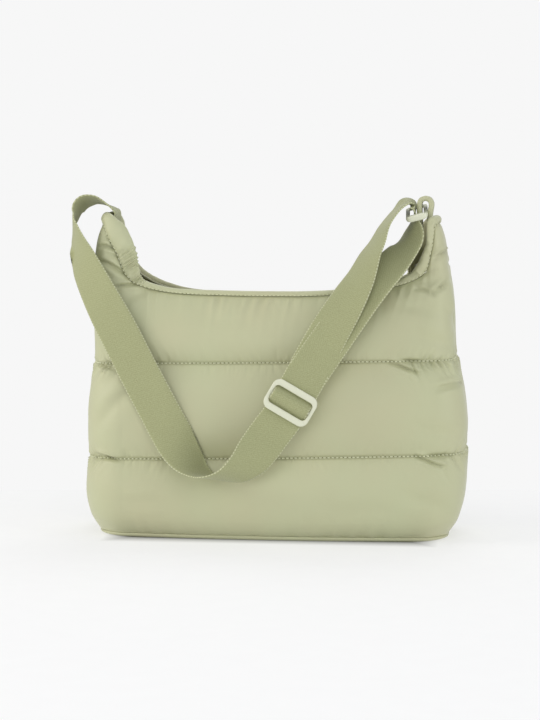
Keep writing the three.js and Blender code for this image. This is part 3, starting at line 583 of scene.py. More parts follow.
def nickel_plate():
    """Nickel plate on die-cast zinc: grey metal with fine polishing marks."""
    material, tree, shader = new_material("nickel-plated zinc")
    where = add_node(tree, "ShaderNodeTexCoord").outputs["Object"]
    # Polishing marks are drawn about 1.4 mm apart so that they show
    marks = add_node(tree, "ShaderNodeTexNoise", {"Scale": 700, "Detail": 3}, {"Vector": where})
    rough = add_node(tree, "ShaderNodeMapRange", {"To Min": 0.25, "To Max": 0.42},
                     {"Value": marks.outputs["Fac"]})
    tree.links.new(rough.outputs[0], shader.inputs["Roughness"])
    tint = add_node(tree, "ShaderNodeMix", {6: linear("#9c9b94"), 7: linear("#b9b8b0")},
                    {0: marks.outputs["Fac"]}, data_type="RGBA")
    tree.links.new(tint.outputs[2], shader.inputs["Base Color"])
    shader.inputs["Metallic"].default_value = 1.0
    return material


NYLON = shell_nylon()
LINING = lining_polyester()
WEBBING = twill_webbing()
THREAD = sewing_thread()
# Dark colour of the needle holes: painted shade
PAINTED_HOLE_SHADE = painted_hole_shade()
ENAMEL = satin_enamel()
COIL = zip_coil()
NICKEL = nickel_plate()


# Padded panels

# Grid of the padded cloth: columns over the half girth and steps to each of the three bands
COLUMNS = 400
BAND_STEPS = 56
ROWS = 3 * BAND_STEPS
# The coarser grid that the cloth simulation runs on, and how many frames it takes
REST_COLUMNS = 150
REST_STEPS = 20
REST_FRAMES = 25
LONGEST_MOVE = 6.0
# Half the girth in millimetres, for the spacing of puckers
HALF_GIRTH = 240
# How the quilting seams stand: lift at the middle and tilt to the sides
LOWER_SEAM_STAND = (0.5, 5.0)
UPPER_SEAM_STAND = (-0.9, 3.6)
# How much closer the grid's rows lie at the seams
ROW_EASE = 0.62
# Cloth beside a seam that doesn't swell, and how much more the padding swells at the sides
SEAM_FLAT = 1.2
SIDE_MORE = 1.5
# How far the lining follows the outer cloth into a seam's groove
GROOVE_BACK = 0.9
# Noise seeds of the puckers above a seam and below one
ABOVE, BELOW = 1.7, 5.3

# Folds that the cloth has taken: ends as x and z seen from the front, depth and half width
FRONT_FOLDS = (
    (-173, 290, -157, 288, 3.6, 1.9), (-171, 274, -147, 264, 4.4, 2.2), (-164, 282, -150, 278, 2.4, 1.8),
    (-158, 249, -132, 254, 3.6, 1.6), (-166, 301, -154, 304, 2.4, 1.7), (-152, 238, -118, 246, 1.2, 4.0),
    (-170, 214, -150, 196, 1.4, 4.0), (-166, 152, -140, 176, 1.8, 5.0), (-168, 118, -134, 148, 2.2, 6.0),
    (162, 281, 177, 288, 3.4, 1.7), (144, 250, 160, 246, 3.2, 1.6), (160, 246, 173, 258, 3.8, 1.8),
    (120, 177, 148, 169, 4.4, 1.6), (146, 86, 172, 77, 4.4, 1.6), (-174, 171, -156, 170, 4.0, 1.5),
    (-174, 83, -150, 79, 4.0, 1.5), (140, 262, 164, 268, 1.2, 2.6), (132, 238, 166, 222, 1.6, 6.0),
    (172, 232, 178, 212, 2.0, 4.0), (150, 206, 176, 190, 1.6, 5.0), (164, 152, 190, 158, 3.8, 2.4),
    (140, 52, 172, 30, 1.6, 6.0), (60, 38, 120, 30, 1.0, 7.0), (-150, 44, -100, 32, 1.2, 7.0),
    (52, 226, 84, 204, 1.0, 7.0), (-60, 222, -20, 214, 0.8, 7.0), (150, 118, 180, 104, 1.4, 5.0),
)
BACK_FOLDS = (
    (-170, 280, -148, 270, 2.6, 2.2), (-165, 262, -140, 258, 1.8, 2.4), (150, 262, 172, 274, 2.4, 2.2),
    (146, 248, 160, 246, 1.8, 1.8), (-168, 152, -136, 172, 1.8, 5.0), (-60, 150, 20, 140, 1.2, 8.0),
    (60, 214, 120, 204, 1.4, 7.0), (-150, 60, -90, 40, 1.4, 7.0), (150, 118, 180, 100, 1.6, 6.0),
    (20, 60, 90, 46, 1.0, 8.0),
)
# Where each seam is pinched, left and right, as shares of the half girth
PINCHES = {1: (-0.75, 0.74), 2: (-0.73, 0.64)}


def wave_noise(x, y, seed):
    return noise.noise(Vector((x, y, seed)))


def ridge(x, y, seed):
    """Noise with sharp creases between rounded ridges, about -0.5 to 0.5."""
    return 0.5 - 2.2 * abs(wave_noise(x, y, seed))


def fold_depth(x, z, face):
    """Taken folds: a narrow dip with a soft swell along its upper side."""
    total = 0.0
    folds = FRONT_FOLDS if face < 0 else BACK_FOLDS
    for x1, z1, x2, z2, depth, width in folds:
        run, rise = x2 - x1, z2 - z1
        length = math.hypot(run, rise)
        along = ((x - x1) * run + (z - z1) * rise) / length
        off = ((z - z1) * run - (x - x1) * rise) / length * (1 if run > 0 else -1)
        if abs(off) > 5 * width or not -2 * width < along < length + 2 * width:
            continue
        off += 0.5 * width * math.sin(along / length * 4 + depth)
        ends = math.sin(math.pi * min(max((along + 2 * width) / (length + 4 * width), 0), 1)) ** 0.8
        upper = 0.62 * math.exp(-(((off - 1.9 * width) / (1.5 * width)) ** 2))
        lower = 0.3 * math.exp(-(((off + 2.1 * width) / (1.4 * width)) ** 2))
        total += ends * depth * (upper + lower - math.exp(-((off / width) ** 2)))
    return total


def panel_place(col, row, face):
    """Share of the girth, height, share of the band, its number and its height at a grid point."""
    across = -1 + 2 * col / COLUMNS
    place = PLACES[round(col * 3)]
    top = column(RIM, STITCH_Z, place) * RIM_Z - rim_drop(place, face)
    band = int(row // BAND_STEPS)
    step = row - band * BAND_STEPS
    if band == 3:
        band, step = 2, BAND_STEPS
    t = step / BAND_STEPS
    t = t - ROW_EASE * math.sin(2 * math.pi * t) / (2 * math.pi)
    lower = LOWER_SEAM_Z + LOWER_SEAM_STAND[0] + LOWER_SEAM_STAND[1] * across
    upper = UPPER_SEAM_Z + UPPER_SEAM_STAND[0] + UPPER_SEAM_STAND[1] * across
    floors = (BASE_FLANGE + GAP, lower, upper, top)
    z = floors[band] + (floors[band + 1] - floors[band]) * t
    rise = max(0, (z - floors[2]) / (top - floors[2]))
    share = across * (1 - rise) + column(RIM, STITCH, place) * rise
    return share, z, t, band, floors[band + 1] - floors[band]


PLACES = [place_of(-1 + 2 * col / (3 * COLUMNS)) for col in range(3 * COLUMNS + 1)]


def gathered(share, seam):
    """How far the cloth is drawn up on a seam, from its pinch near each side: 0 to 1."""
    if seam not in PINCHES:
        return 0.0
    pinch = PINCHES[seam][share > 0]
    past = smooth_step(abs(share), abs(pinch) - 0.01, abs(pinch) + 0.03)
    return past * smooth_step(1 - abs(share), 0.0, 0.05)


def seam_puckers(share, t, height, band, face):
    """Small folds square to the seams, drawn up tight where the stitching ends at the sides."""
    run = share * HALF_GIRTH
    total = 0.0
    for distance, seed in ((t * height, ABOVE), ((1 - t) * height, BELOW)):
        if band == 0 and seed == ABOVE:
            total += 1.2 * ridge(run * 0.05, distance * 0.01, 6.6 + face) * math.exp(-distance / 14)
            continue
        fade, rise, seam = (6, 4.0, band) if seed == ABOVE else (9, 7.5, band + 1)
        ends = gathered(share, seam)
        slant = run - 0.5 * distance * (1 if share > 0 else -1)
        fine = 0.75 * ridge(run * 0.24, distance * 0.03, seed + band + face)
        fine *= math.exp(-distance / 5.5)
        loose = 0.7 * ridge(slant * 0.11, distance * 0.02, seed + 2 * band + face)
        loose *= math.exp(-distance / 12)
        gather = rise * ridge(slant * 0.23, distance * 0.03, seed + 3 * band + face)
        gather *= math.exp(-distance / fade)
        rim = 0.0
        if band == 2 and seed == BELOW:
            fine *= 0.6
            rim = 2.9 * ridge((run + 0.25 * distance) * 0.085, distance * 0.012, 9.1 + face)
            rim *= math.exp(-distance / 15) * (1 - 0.7 * smooth_step(abs(share), 0.5, 0.62))
        sewn = 1 - 0.75 * math.exp(-((distance / 1.6) ** 2))
        total += ((fine + loose) * (1 - ends) + gather * ends + rim) * sewn
    return total


def seam_groove(share, t, height, band):
    """Depth of the seams' grooves, and how near the place is to a pinch, 0 to 1."""
    groove, near = 0.0, 0.0
    for distance, seam in ((t * height, band), ((1 - t) * height, band + 1)):
        if seam:
            side = PINCHES.get(seam, (2, 2))[share > 0]
            pinch = math.exp(-(((abs(share) - abs(side) - 0.01) / 0.035) ** 2))
            groove += (0.9 + 2.9 * pinch) * math.exp(-((distance / (1.9 + 0.5 * pinch)) ** 2))
            near = max(near, pinch * math.exp(-distance / 14))
    return groove, near


def outer_point(col, row, face, fine=True):
    """Point of a panel's outer cloth, with its fine relief or without."""
    share, z, t, band, height = panel_place(col, row, face)
    girth = abs(share)
    size = min(girth / CORNER_SHARE, 1)
    groove, near = seam_groove(share, t, height, band)
    inside = min(max((t * height - SEAM_FLAT) / (height - 2 * SEAM_FLAT), 0), 1)
    full = FRONT_PUFF + (SIDE_PUFF + SIDE_MORE - FRONT_PUFF) * size**4
    swell = full * math.sin(math.pi * inside) ** (0.74 - 0.3 * near)
    slack = 2.0 * wave_noise(share * 3.1, z * 0.014, 2.2 + face) * math.sin(math.pi * t)
    edge = smooth_step(1 - girth, 0, 0.04)
    out = swell - groove * min(1, edge + 0.3)
    if fine:
        seen = skin(share, z, 0, face)
        puckers = seam_puckers(share, t, height, band, face)
        out += (slack + puckers + fold_depth(seen.x, z, face)) * edge
    return skin(share, z, out, face)


def inner_point(col, row, face):
    """Point of a panel's lining, under the outer cloth's point."""
    share, z, t, band, height = panel_place(col, row, face)
    size = min(abs(share) / CORNER_SHARE, 1)
    edge = min(1.0, (1 - abs(share)) / 0.06)
    swell = math.sin(math.pi * t) ** 0.6
    out = puff_at(t, size)
    thick = SEAM_WALL + (PAD_WALL - SEAM_WALL) * swell * (0.45 + 0.55 * edge * (1 - size**4))
    thick += GROOVE_BACK * seam_groove(share, t, height, band)[0]
    return skin(share, z, out - thick, face)


def settle(face):
    """Lets a panel's outer cloth wrinkle on its pad: it is held on the seams and a little too long
    for them. Gives how far each point of a coarse grid moves."""
    width = REST_COLUMNS + 1
    rows = 3 * REST_STEPS
    points = [
        outer_point(c * COLUMNS / REST_COLUMNS, r * BAND_STEPS / REST_STEPS, face, False)
        for r in range(rows + 1) for c in range(width)
    ]
    faces = [(r * width + c, r * width + c + 1, (r + 1) * width + c + 1, (r + 1) * width + c)[::-face]
             for r in range(rows) for c in range(REST_COLUMNS)]
    for point in points:
        point.y += 0.4 * wave_noise(point.x * 0.06, point.z * 0.05, 8.8 + face)
    cloth = mesh_piece("cloth", points, faces)
    held = cloth.vertex_groups.new(name="held")
    slack = cloth.vertex_groups.new(name="slack")
    for index in range(len(points)):
        row, col = divmod(index, width)
        if row % REST_STEPS == 0 or col in (0, REST_COLUMNS):
            held.add([index], 1.0, "REPLACE")
        girth = abs(-1 + 2 * col / REST_COLUMNS)
        loose = 0.08 if row > 2 * REST_STEPS else 0.3
        slack.add([index], loose + (0.9 - loose) * smooth_step(girth, 0.52, 0.76), "REPLACE")
    modifier = cloth.modifiers.new("Cloth", "CLOTH")
    settings = modifier.settings
    settings.quality = 5
    settings.mass = 0.15
    settings.tension_stiffness = 20
    settings.compression_stiffness = 20
    settings.shear_stiffness = 8
    settings.bending_stiffness = 0.12
    settings.vertex_group_mass = "held"
    settings.vertex_group_shrink = "slack"
    settings.shrink_min = 0.0
    settings.shrink_max = -0.14
    settings.use_pressure = True
    settings.uniform_pressure_force = 2.5
    settings.effector_weights.gravity = 0
    modifier.collision_settings.use_collision = False
    scene = bpy.context.scene
    for step in range(1, REST_FRAMES + 1):
        scene.frame_set(step)
    seen = cloth.evaluated_get(bpy.context.evaluated_depsgraph_get())
    moves = [seen.data.vertices[i].co / MM - point for i, point in enumerate(points)]
    scene.frame_set(1)
    bpy.data.objects.remove(cloth)
    return [move * (min(move.length, LONGEST_MOVE) / max(move.length, 1e-6)) for move in moves]


def move_at(moves, col, row):
    """Move of the coarse grid at a place of the fine one."""
    width = REST_COLUMNS + 1
    across = col * REST_COLUMNS / COLUMNS
    up = row * REST_STEPS / BAND_STEPS
    c, r = min(int(across), REST_COLUMNS - 1), min(int(up), 3 * REST_STEPS - 1)
    s, t = across - c, up - r
    low = moves[r * width + c].lerp(moves[r * width + c + 1], s)
    high = moves[(r + 1) * width + c].lerp(moves[(r + 1) * width + c + 1], s)
    return low.lerp(high, t)


def padded_panel(name, face):
    """Half of the body: outer cloth, lining and the edges between them. Gives the cloth's points."""
    width = COLUMNS + 1
    outer = [outer_point(c, r, face) for r in range(ROWS + 1) for c in range(width)]
    moves = settle(face)
    outer = [point + move_at(moves, i % width, i // width) for i, point in enumerate(outer)]
    inner = [inner_point(c, r, face) for r in range(ROWS + 1) for c in range(width)]
    layer = width * (ROWS + 1)
    faces = []
    for r in range(ROWS):
        for c in range(COLUMNS):
            a = r * width + c
            faces.append((a, a + 1, a + width + 1, a + width))
    for r in range(ROWS):
        for c in range(COLUMNS):
            a = layer + r * width + c
            faces.append((a, a + width, a + width + 1, a + 1))
    for c in range(COLUMNS):
        top = ROWS * width + c
        faces.append((c, layer + c, layer + c + 1, c + 1))
        faces.append((top, top + 1, layer + top + 1, layer + top))
    for r in range(ROWS):
        left, right = r * width, r * width + COLUMNS
        faces.append((left, left + width, layer + left + width, layer + left))
        faces.append((right, layer + right, layer + right + width, right + width))
    piece = outward(mesh_piece(name, outer + inner, faces))
    finish_piece(piece, [NYLON, LINING], name)
    for polygon in piece.data.polygons:
        polygon.material_index = 1 if all(v >= layer for v in polygon.vertices) else 0
    return outer


front_skin = padded_panel("front_panel", -1)
back_skin = padded_panel("back_panel", 1)

# Columns at each end of a quilting seam that have no stitches
SEAM_INSET = 2


# Stitches
def stitch_points(start, end, side, out, lift, weight):
    """Rings of points of one stitch, bowed up over the cloth."""
    points = []
    for share, thick, rise in STITCH_RINGS:
        middle = start.lerp(end, share) + out * (rise * lift * (1 - 0.6 * abs(out.x)))
        size = thick * weight
        for turn in range(STITCH_SIDES):
            angle = 2 * math.pi * turn / STITCH_SIDES
            points.append(middle + side * (size * math.cos(angle)) + out * (size * math.sin(angle)))
    return points


def hole_points(middle, run, side, out, weight):
    """Rim, top and bottom of the dip that a needle hole draws into the cloth."""
    points = []
    for turn in range(HOLE_SIDES):
        angle = 2 * math.pi * turn / HOLE_SIDES
        along = run * (HOLE_SIZE[0] * math.cos(angle))
        points.append(middle + along + side * (HOLE_SIZE[1] * weight * math.sin(angle)))
    return points + [middle + out * HOLE_RISE, middle - out * HOLE_SINK]


def thread_run(name, lines, lift, weight):
    """Stitches of sewing thread lying along lines of points on the cloth, lifted above them.
    weight is how thick they and their needle holes are."""
    points, faces, dark = [], [], []
    for line, outs in lines:
        lengths = [0.0]
        for a, b in zip(line, line[1:]):
            lengths.append(lengths[-1] + (b - a).length)
        start, step = STITCH_PITCH / 2, 0
        while start + STITCH_LENGTH < lengths[-1]:
            ends = []
            for reach in (start, start + STITCH_LENGTH / 2, start + STITCH_LENGTH):
                while lengths[step + 1] < reach:
                    step += 1
                t = (reach - lengths[step]) / (lengths[step + 1] - lengths[step])
                ends.append(line[step].lerp(line[step + 1], t))
            out = outs[step]
            run = (ends[2] - ends[0]).normalized()
            side = run.cross(out).normalized()
            faces += tube_faces(len(points), STITCH_SIDES, len(STITCH_RINGS))
            points += stitch_points(ends[0], ends[2], side, out, lift, weight)
            # The thread sinks into a needle hole between two stitches; the hole's dip is coloured with
            # painted shade
            base = len(points)
            hole = ends[2] + run * ((STITCH_PITCH - STITCH_LENGTH) / 2) + out * HOLE_RISE
            points += hole_points(hole, run, side, out, weight)
            for turn in range(HOLE_SIDES):
                a, b = base + turn, base + (turn + 1) % HOLE_SIDES
                faces.append((a, b, base + HOLE_SIDES))
                faces.append((b, a, base + HOLE_SIDES + 1))
                dark += [len(faces) - 2, len(faces) - 1]
            start += STITCH_PITCH
            while step > 0 and lengths[step] > start:
                step -= 1
    piece = mesh_piece(name, points, faces)
    for index in dark:
        piece.data.polygons[index].material_index = 1
    outward(piece)
    finish_piece(piece, [THREAD, PAINTED_HOLE_SHADE], None)


def seam_line(points, row, face):
    """Line of the panel's cloth along one grid row, with the way out of the cloth."""
    width = COLUMNS + 1
    columns = range(SEAM_INSET, width - SEAM_INSET)
    outs = []
    for c in columns:
        size = abs(-1 + 2 * c / COLUMNS)
        angle = max(0.0, min(1.0, (size - FLAT_SHARE) / (CORNER_SHARE - FLAT_SHARE))) * math.pi / 2
        side = 1 if c > COLUMNS / 2 else -1
        outs.append(Vector((side * math.sin(angle), face * math.cos(angle), 0)))
    return [points[row * width + c] for c in columns], outs


for side_name, face, points in (("front", -1, front_skin), ("back", 1, back_skin)):
    seams = [seam_line(points, seam * BAND_STEPS, face) for seam in (1, 2)]
    thread_run(side_name + "_quilting_stitches", seams, QUILTING_STITCH[0], QUILTING_STITCH[1])


# Rim bindings

# Rings along a binding, rings at its ends that have no stitches, and where the ears start to turn
BAND_RINGS = 760
BAND_INSET = 6
EAR_START = 150
# Stitch line of a binding: height over its foot and distance out of the skin
BAND_STITCH_RISE = 1.3
BAND_STITCH_OUT = 0.9


def rim_binding(name, face):
    """Folded binding: plump at the ears, drawn up in tight puckers where it turns."""
    rings = []
    stitches = []
    along, before = 0.0, None
    for step in range(BAND_RINGS + 1):
        place = (len(RIM) - 1) * step / BAND_RINGS
        low = rim_place(place, 0, face)
        high = rim_place(place, 1, face)
        foot = skin(low[0], low[1], 0, face)
        span = (foot - skin(high[0], high[1], 0, face)).length
        along += (foot - before).length if before else 0
        before = foot
        start = (GAP + 0.1) / span
        own = -face * column(RIM, ACROSS, place)
        tight = smooth_step(-own, 0.57, 0.63) * (1 - smooth_step(-own, 0.735, 0.755))
        creased = 0.45 * smooth_step(own, 0.55, 0.65) * (1 - smooth_step(own, 0.86, 0.95))
        soft = 1 - max(tight, creased)
        plump = 1 + 2.2 * min(1, span / 22) * (1 - tight)
        ring = []
        for rise, out in BAND_SECTION:
            fullness = 4 * max(0, rise * (1 - rise))
            slant = along + 5 * rise
            stray = 3.2 * wave_noise(along * 0.11, 0.3 * rise, 3.1 + face)
            ripple = 2.5 * (1 - 1.9 * abs(math.sin(slant * 0.68 + stray)))
            gather = (ripple + 1.4 * ridge(slant * 0.16, rise, 1.9)) * (0.45 + 0.65 * rise) * tight
            gather += 4.2 * ridge(slant * 0.12, rise, 2.7 + face) * creased
            gather += 0.7 * ridge(slant * 0.09, 0.6 * rise, 6.1 + face) * soft
            share = 0.12 + 0.75 * fullness if out > -3 else 0.1
            lift = out * (plump if out > 0 else 1) + gather * share
            at = rim_place(place, start + (1 - start) * rise * (1 + 0.018 * gather * rise), face)
            ring.append(skin(at[0], at[1], lift, face))
        rings.append(ring)
        stitch_at = rim_place(place, min(0.3, BAND_STITCH_RISE / span), face)
        stitches.append(skin(stitch_at[0], stitch_at[1], BAND_STITCH_OUT, face))
    piece = loft(name, rings)
    finish_piece(piece, [NYLON], name)
    outs = []
    for point in stitches:
        if abs(point.x) < EAR_START:
            outs.append(Vector((0, face, 0)))
        else:
            outs.append(Vector((math.copysign(0.6, point.x), face * 0.8, 0)))
    sewn = slice(BAND_INSET, -BAND_INSET)
    thread_run(name + "_stitches", [(stitches[sewn], outs[sewn])], BAND_STITCH[0], BAND_STITCH[1])


rim_binding("front_rim_band", -1)
rim_binding("back_rim_band", 1)


# Zip

# Rings along a tape, how many rows of RIM its ends stand in, and its place on the binding's height
TAPE_RINGS = 300
TAPE_INSET = 5
TAPE_RISE = 0.8


def zip_tape(name, face):
    """Woven tape inside the mouth, with its row of teeth."""
    rings = []
    line = []
    for step in range(TAPE_RINGS + 1):
        place = TAPE_INSET + (len(RIM) - 1 - 2 * TAPE_INSET) * step / TAPE_RINGS
        share, z = rim_place(place, TAPE_RISE, face)
        seat = skin(share, z, -BAND_WALL - GAP, face)
        ahead = rim_place(place + 0.05, TAPE_RISE, face)
        behind = rim_place(place - 0.05, TAPE_RISE, face)
        run = skin(ahead[0], ahead[1], -BAND_WALL, face) - skin(behind[0], behind[1], -BAND_WALL, face)
        normal = Vector((-run.z, 0, run.x)).normalized()
        middle = Vector((seat.x, seat.y, seat.z - TAPE_DROP))
        ripple = 0.35 * wave_noise(middle.x * 0.08, middle.z * 0.1, 3 + face)
        ring = []
        for reach, lift in TAPE_EDGE:
            ring.append(middle + Vector((0, -face * reach, 0)) + normal * (lift + ripple))
        rings.append(ring)
        teeth = middle + Vector((0, -face * TEETH_REACH, 0)) + normal * ripple
        line.append((teeth, run.normalized(), normal))
    tape = loft(name, rings)
    finish_piece(tape, [LINING], name)
    points, faces = [], []
    way = Vector((0, -face, 0))
    reach = 0.0
    for (a, run, normal), (b, _, _) in zip(line, line[1:]):
        reach += (b - a).length
        if reach < TOOTH_PITCH:
            continue
        reach = 0.0
        faces += tube_faces(len(points), TOOTH_SIDES, len(TOOTH_RINGS))
        for end, size in TOOTH_RINGS:
            for turn in range(TOOTH_SIDES):
                angle = 2 * math.pi * turn / TOOTH_SIDES
                flat = run * (size * 0.8 * math.cos(angle)) + normal * (size * 1.7 * math.sin(angle))
                points.append(a + way * end + flat)
    teeth = outward(mesh_piece(name + "_teeth", points, faces))
    finish_piece(teeth, [COIL], None)


zip_tape("front_zip_tape", -1)
zip_tape("back_zip_tape", 1)


# Base

# Columns round the base, and how far it stands out of the skin at its flange
BASE_COLUMNS = 220
BASE_OUT = 0.4


def base_pad():
    """Padded base, flat underneath, that fills the body's foot."""
    rings = []
    for reach, z in BASE_SECTION:
        ring = []
        for col in range(BASE_COLUMNS):
            turn = col / BASE_COLUMNS * 4
            face = -1 if turn < 2 else 1
            share = turn - 1 if turn < 2 else 3 - turn
            point = skin(share, BASE_FLANGE, BASE_OUT, face)
            y = 0 if share in (-1, 1) else point.y
            ring.append(Vector((point.x * reach, y * reach, z)))
        rings.append(ring)
    piece = loft("base_panel", rings)
    finish_piece(piece, [NYLON], "base_panel")


base_pad()


# Webbing strap

# Parts to each stretch of the webbing's route, and columns to each half of its width
STRAP_PARTS = 9
STRAP_HALF_COLUMNS = 9


def strip_width(side, turn):
    """Way across the webbing, from its side and turn in degrees."""
    side, turn = math.radians(side), math.radians(turn)
    return Vector((-math.cos(turn) * math.cos(side), math.sin(turn), -math.cos(turn) * math.sin(side)))


def station(row):
    """A row of the webbing's route: its point in millimetres and the way across the webbing."""
    x, y, z, side, turn = row
    return Vector((x * HALF_WIDTH, y * HALF_DEPTH, z * EAR_HEIGHT)), strip_width(side, turn)


def adjuster_seat():
    """Middle, width way, run and front of the adjuster's seat on the webbing."""
    seat, across = station(ADJUSTER_AT)
    side = math.radians(ADJUSTER_AT[3])
    level = math.cos(ADJUSTER_LEAN)
    up = Vector((-math.sin(side) * level, math.sin(ADJUSTER_LEAN), math.cos(side) * level))
    out = across.cross(up).normalized()
    if out.y > 0:
        out.negate()
    return seat, across, up, out


def smooth_line(points, parts):
    """Points of a smooth curve through the given ones, parts to each stretch."""
    first = points[0] * 2 - points[1]
    last = points[-1] * 2 - points[-2]
    ends = [first] + points + [last]
    line = []
    for i in range(1, len(ends) - 2):
        p0, p1, p2, p3 = ends[i - 1 : i + 3]
        d0 = max((p1 - p0).length, 1e-4) ** 0.5
        d1 = max((p2 - p1).length, 1e-4) ** 0.5
        d2 = max((p3 - p2).length, 1e-4) ** 0.5
        m1 = ((p1 - p0) / d0 - (p2 - p0) / (d0 + d1) + (p2 - p1) / d1) * d1
        m2 = ((p2 - p1) / d1 - (p3 - p1) / (d1 + d2) + (p3 - p2) / d2) * d1
        for part in range(parts):
            t = part / parts
            square = p1 * -3 + p2 * 3 - m1 * 2 - m2
            cube = p1 * 2 - p2 * 2 + m1 + m2
            line.append(p1 + m1 * t + square * t * t + cube * t**3)
    line.append(points[-1].copy())
    return line


def webbing_strap():
    """One webbing from the left ear through the adjuster and the ring, and back to the adjuster."""
    seat, across, up, out = adjuster_seat()
    stations = [station(row) for row in STRAP]
    stations += [(seat + up * along + out * lift, across) for along, lift in WEAVE]
    stations += [station(row) for row in STRAP_UP]
    stations += [(seat + up * along + out * lift, across) for along, lift in TUCK]
    line = smooth_line([at for at, _ in stations], STRAP_PARTS)
    ways = smooth_line([way for _, way in stations], STRAP_PARTS)
    shares = [i / STRAP_HALF_COLUMNS for i in range(-STRAP_HALF_COLUMNS, STRAP_HALF_COLUMNS + 1)]
    rings, along = [], []
    reach = 0.0
    for index, at in enumerate(line):
        ahead, behind = line[min(index + 1, len(line) - 1)], line[max(index - 1, 0)]
        if index:
            reach += (at - line[index - 1]).length
        along.append(reach)
        run = (ahead - behind).normalized()
        way = ways[index].normalized()
        way = (way - run * way.dot(run)).normalized()
        normal = run.cross(way).normalized()
        # Beyond the adjuster the upper strand lies on the strand that comes back under it
        row = index / STRAP_PARTS - len(STRAP) - len(WEAVE)
        over = UPPER_OVER * smooth_step(row, -0.5, 1.0) * (1 - smooth_step(row, 5, 8))
        over -= LOWER_BEHIND * smooth_step(row, 12, 14)
        top, bottom = [], []
        for share in shares:
            edge = abs(share)
            thick = STRAP_THICK / 2 * (1.0 if edge < 0.93 else 0.55 if edge > 0.999 else 1.06)
            width = STRAP_WIDTH / 2 * (edge if edge < 0.999 else 1.0) * (1 if share >= 0 else -1)
            place = at + way * width
            top.append(draped(place + normal * thick, over))
            bottom.append(draped(place - normal * thick, over))
        rings.append(top + bottom[::-1])
    across_uv = [STRAP_WIDTH / 2 * (1 + s) for s in shares]
    piece = loft("strap", rings, (across_uv + across_uv[::-1], along))
    finish_piece(piece, [WEBBING], "strap")


def draped(point, over):
    """Keeps a point of the webbing in front of the padding where it hangs before the panel."""
    top = LEFT_DRAPE_Z if point.x < 0 else RIGHT_DRAPE_Z
    if point.z > top:
        return point
    seat = front_depth(point.x, point.z) + STRAP_CLEAR + DRAPE_EASE + over
    fade = min(1, (top - point.z) / DRAPE_FADE)
    point.y -= max(0, point.y + seat) * fade
    return point


webbing_strap()


# Adjuster, ring, tab and slider
def metal_frame(name, size, bars, thick, corner):
    """Flat metal frame with a window, modelled lying at the origin. bars are (ends, sides)."""
    bpy.ops.object.select_all(action="DESELECT")
    bpy.ops.mesh.primitive_cube_add(size=1, location=(0, 0, 0))
    piece = bpy.context.active_object
    piece.name = name
    piece.scale = (size[0] * MM, size[1] * MM, thick * MM)
    bpy.ops.object.transform_apply(location=False, rotation=False, scale=True)
    bpy.ops.object.mode_set(mode="EDIT")
    bpy.ops.mesh.select_mode(type="EDGE")
    bpy.ops.mesh.select_all(action="DESELECT")
    work = bmesh.from_edit_mesh(piece.data)
    for edge in work.edges:
        a, b = edge.verts
        edge.select_set(abs(a.co.z - b.co.z) > thick * MM * 0.5)
    bmesh.update_edit_mesh(piece.data)
    bpy.ops.mesh.bevel(offset=corner * MM, segments=FRAME_CORNER_STEPS, affect="EDGES")
    bpy.ops.mesh.select_mode(type="FACE")
    bpy.ops.mesh.select_all(action="DESELECT")
    work = bmesh.from_edit_mesh(piece.data)
    for face in work.faces:
        face.select_set(abs(face.normal.z) > 0.9)
    bmesh.update_edit_mesh(piece.data)
    bpy.ops.mesh.inset(thickness=bars[0] * MM, depth=0)
    window = (size[1] - 2 * bars[1]) / (size[1] - 2 * bars[0])
    bpy.ops.transform.resize(value=(1, window, 1), center_override=(0, 0, 0))
    bpy.ops.mesh.bridge_edge_loops()
    bpy.ops.mesh.select_all(action="SELECT")
    bpy.ops.mesh.normals_make_consistent(inside=False)
    bpy.ops.object.mode_set(mode="OBJECT")
    round_off(piece, FRAME_BEVEL, 3)
    return piece


def round_off(piece, size, segments):
    """Rounds the piece's sharp edges and shades it smooth between them."""
    modifier = piece.modifiers.new("Bevel", "BEVEL")
    modifier.width = size * MM
    modifier.segments = segments
    modifier.limit_method = "ANGLE"
    modifier.angle_limit = math.radians(50)
    only(piece)
    bpy.ops.object.modifier_apply(modifier=modifier.name)
    bpy.ops.object.shade_smooth_by_angle(angle=math.radians(40))


def seat_piece(piece, at, x_way, y_way, z_way):
    """Moves a piece modelled at the origin to its seat, in its mesh."""
    turn = Matrix((x_way, y_way, z_way)).transposed().to_4x4()
    turn.translation = at * MM
    piece.data.transform(turn)
    piece.matrix_world = Matrix.Identity(4)


def adjuster():
    """Flat frame with a round middle bar."""
    bars = (ADJUSTER_END_BAR, ADJUSTER_LONG_BAR)
    piece = metal_frame("adjuster", ADJUSTER_SIZE, bars, ADJUSTER_THICK, ADJUSTER_CORNER)
    bpy.ops.object.select_all(action="DESELECT")
    bpy.ops.mesh.primitive_cylinder_add(
        vertices=24, radius=MIDDLE_BAR_RADIUS * MM, depth=(ADJUSTER_WINDOW[0] + 2) * MM,
        rotation=(0, math.pi / 2, 0),
    )
    bar = bpy.context.active_object
    bpy.ops.object.transform_apply(location=True, rotation=True, scale=True)
    bpy.ops.object.shade_smooth_by_angle(angle=math.radians(40))
    piece.select_set(True)
    bpy.context.view_layer.objects.active = piece
    bpy.ops.object.join()
    seat, across, up, out = adjuster_seat()
    seat_piece(piece, seat + out * ADJUSTER_LIFT, across, up, across.cross(up).normalized())
    finish_piece(piece, [ENAMEL], "adjuster")


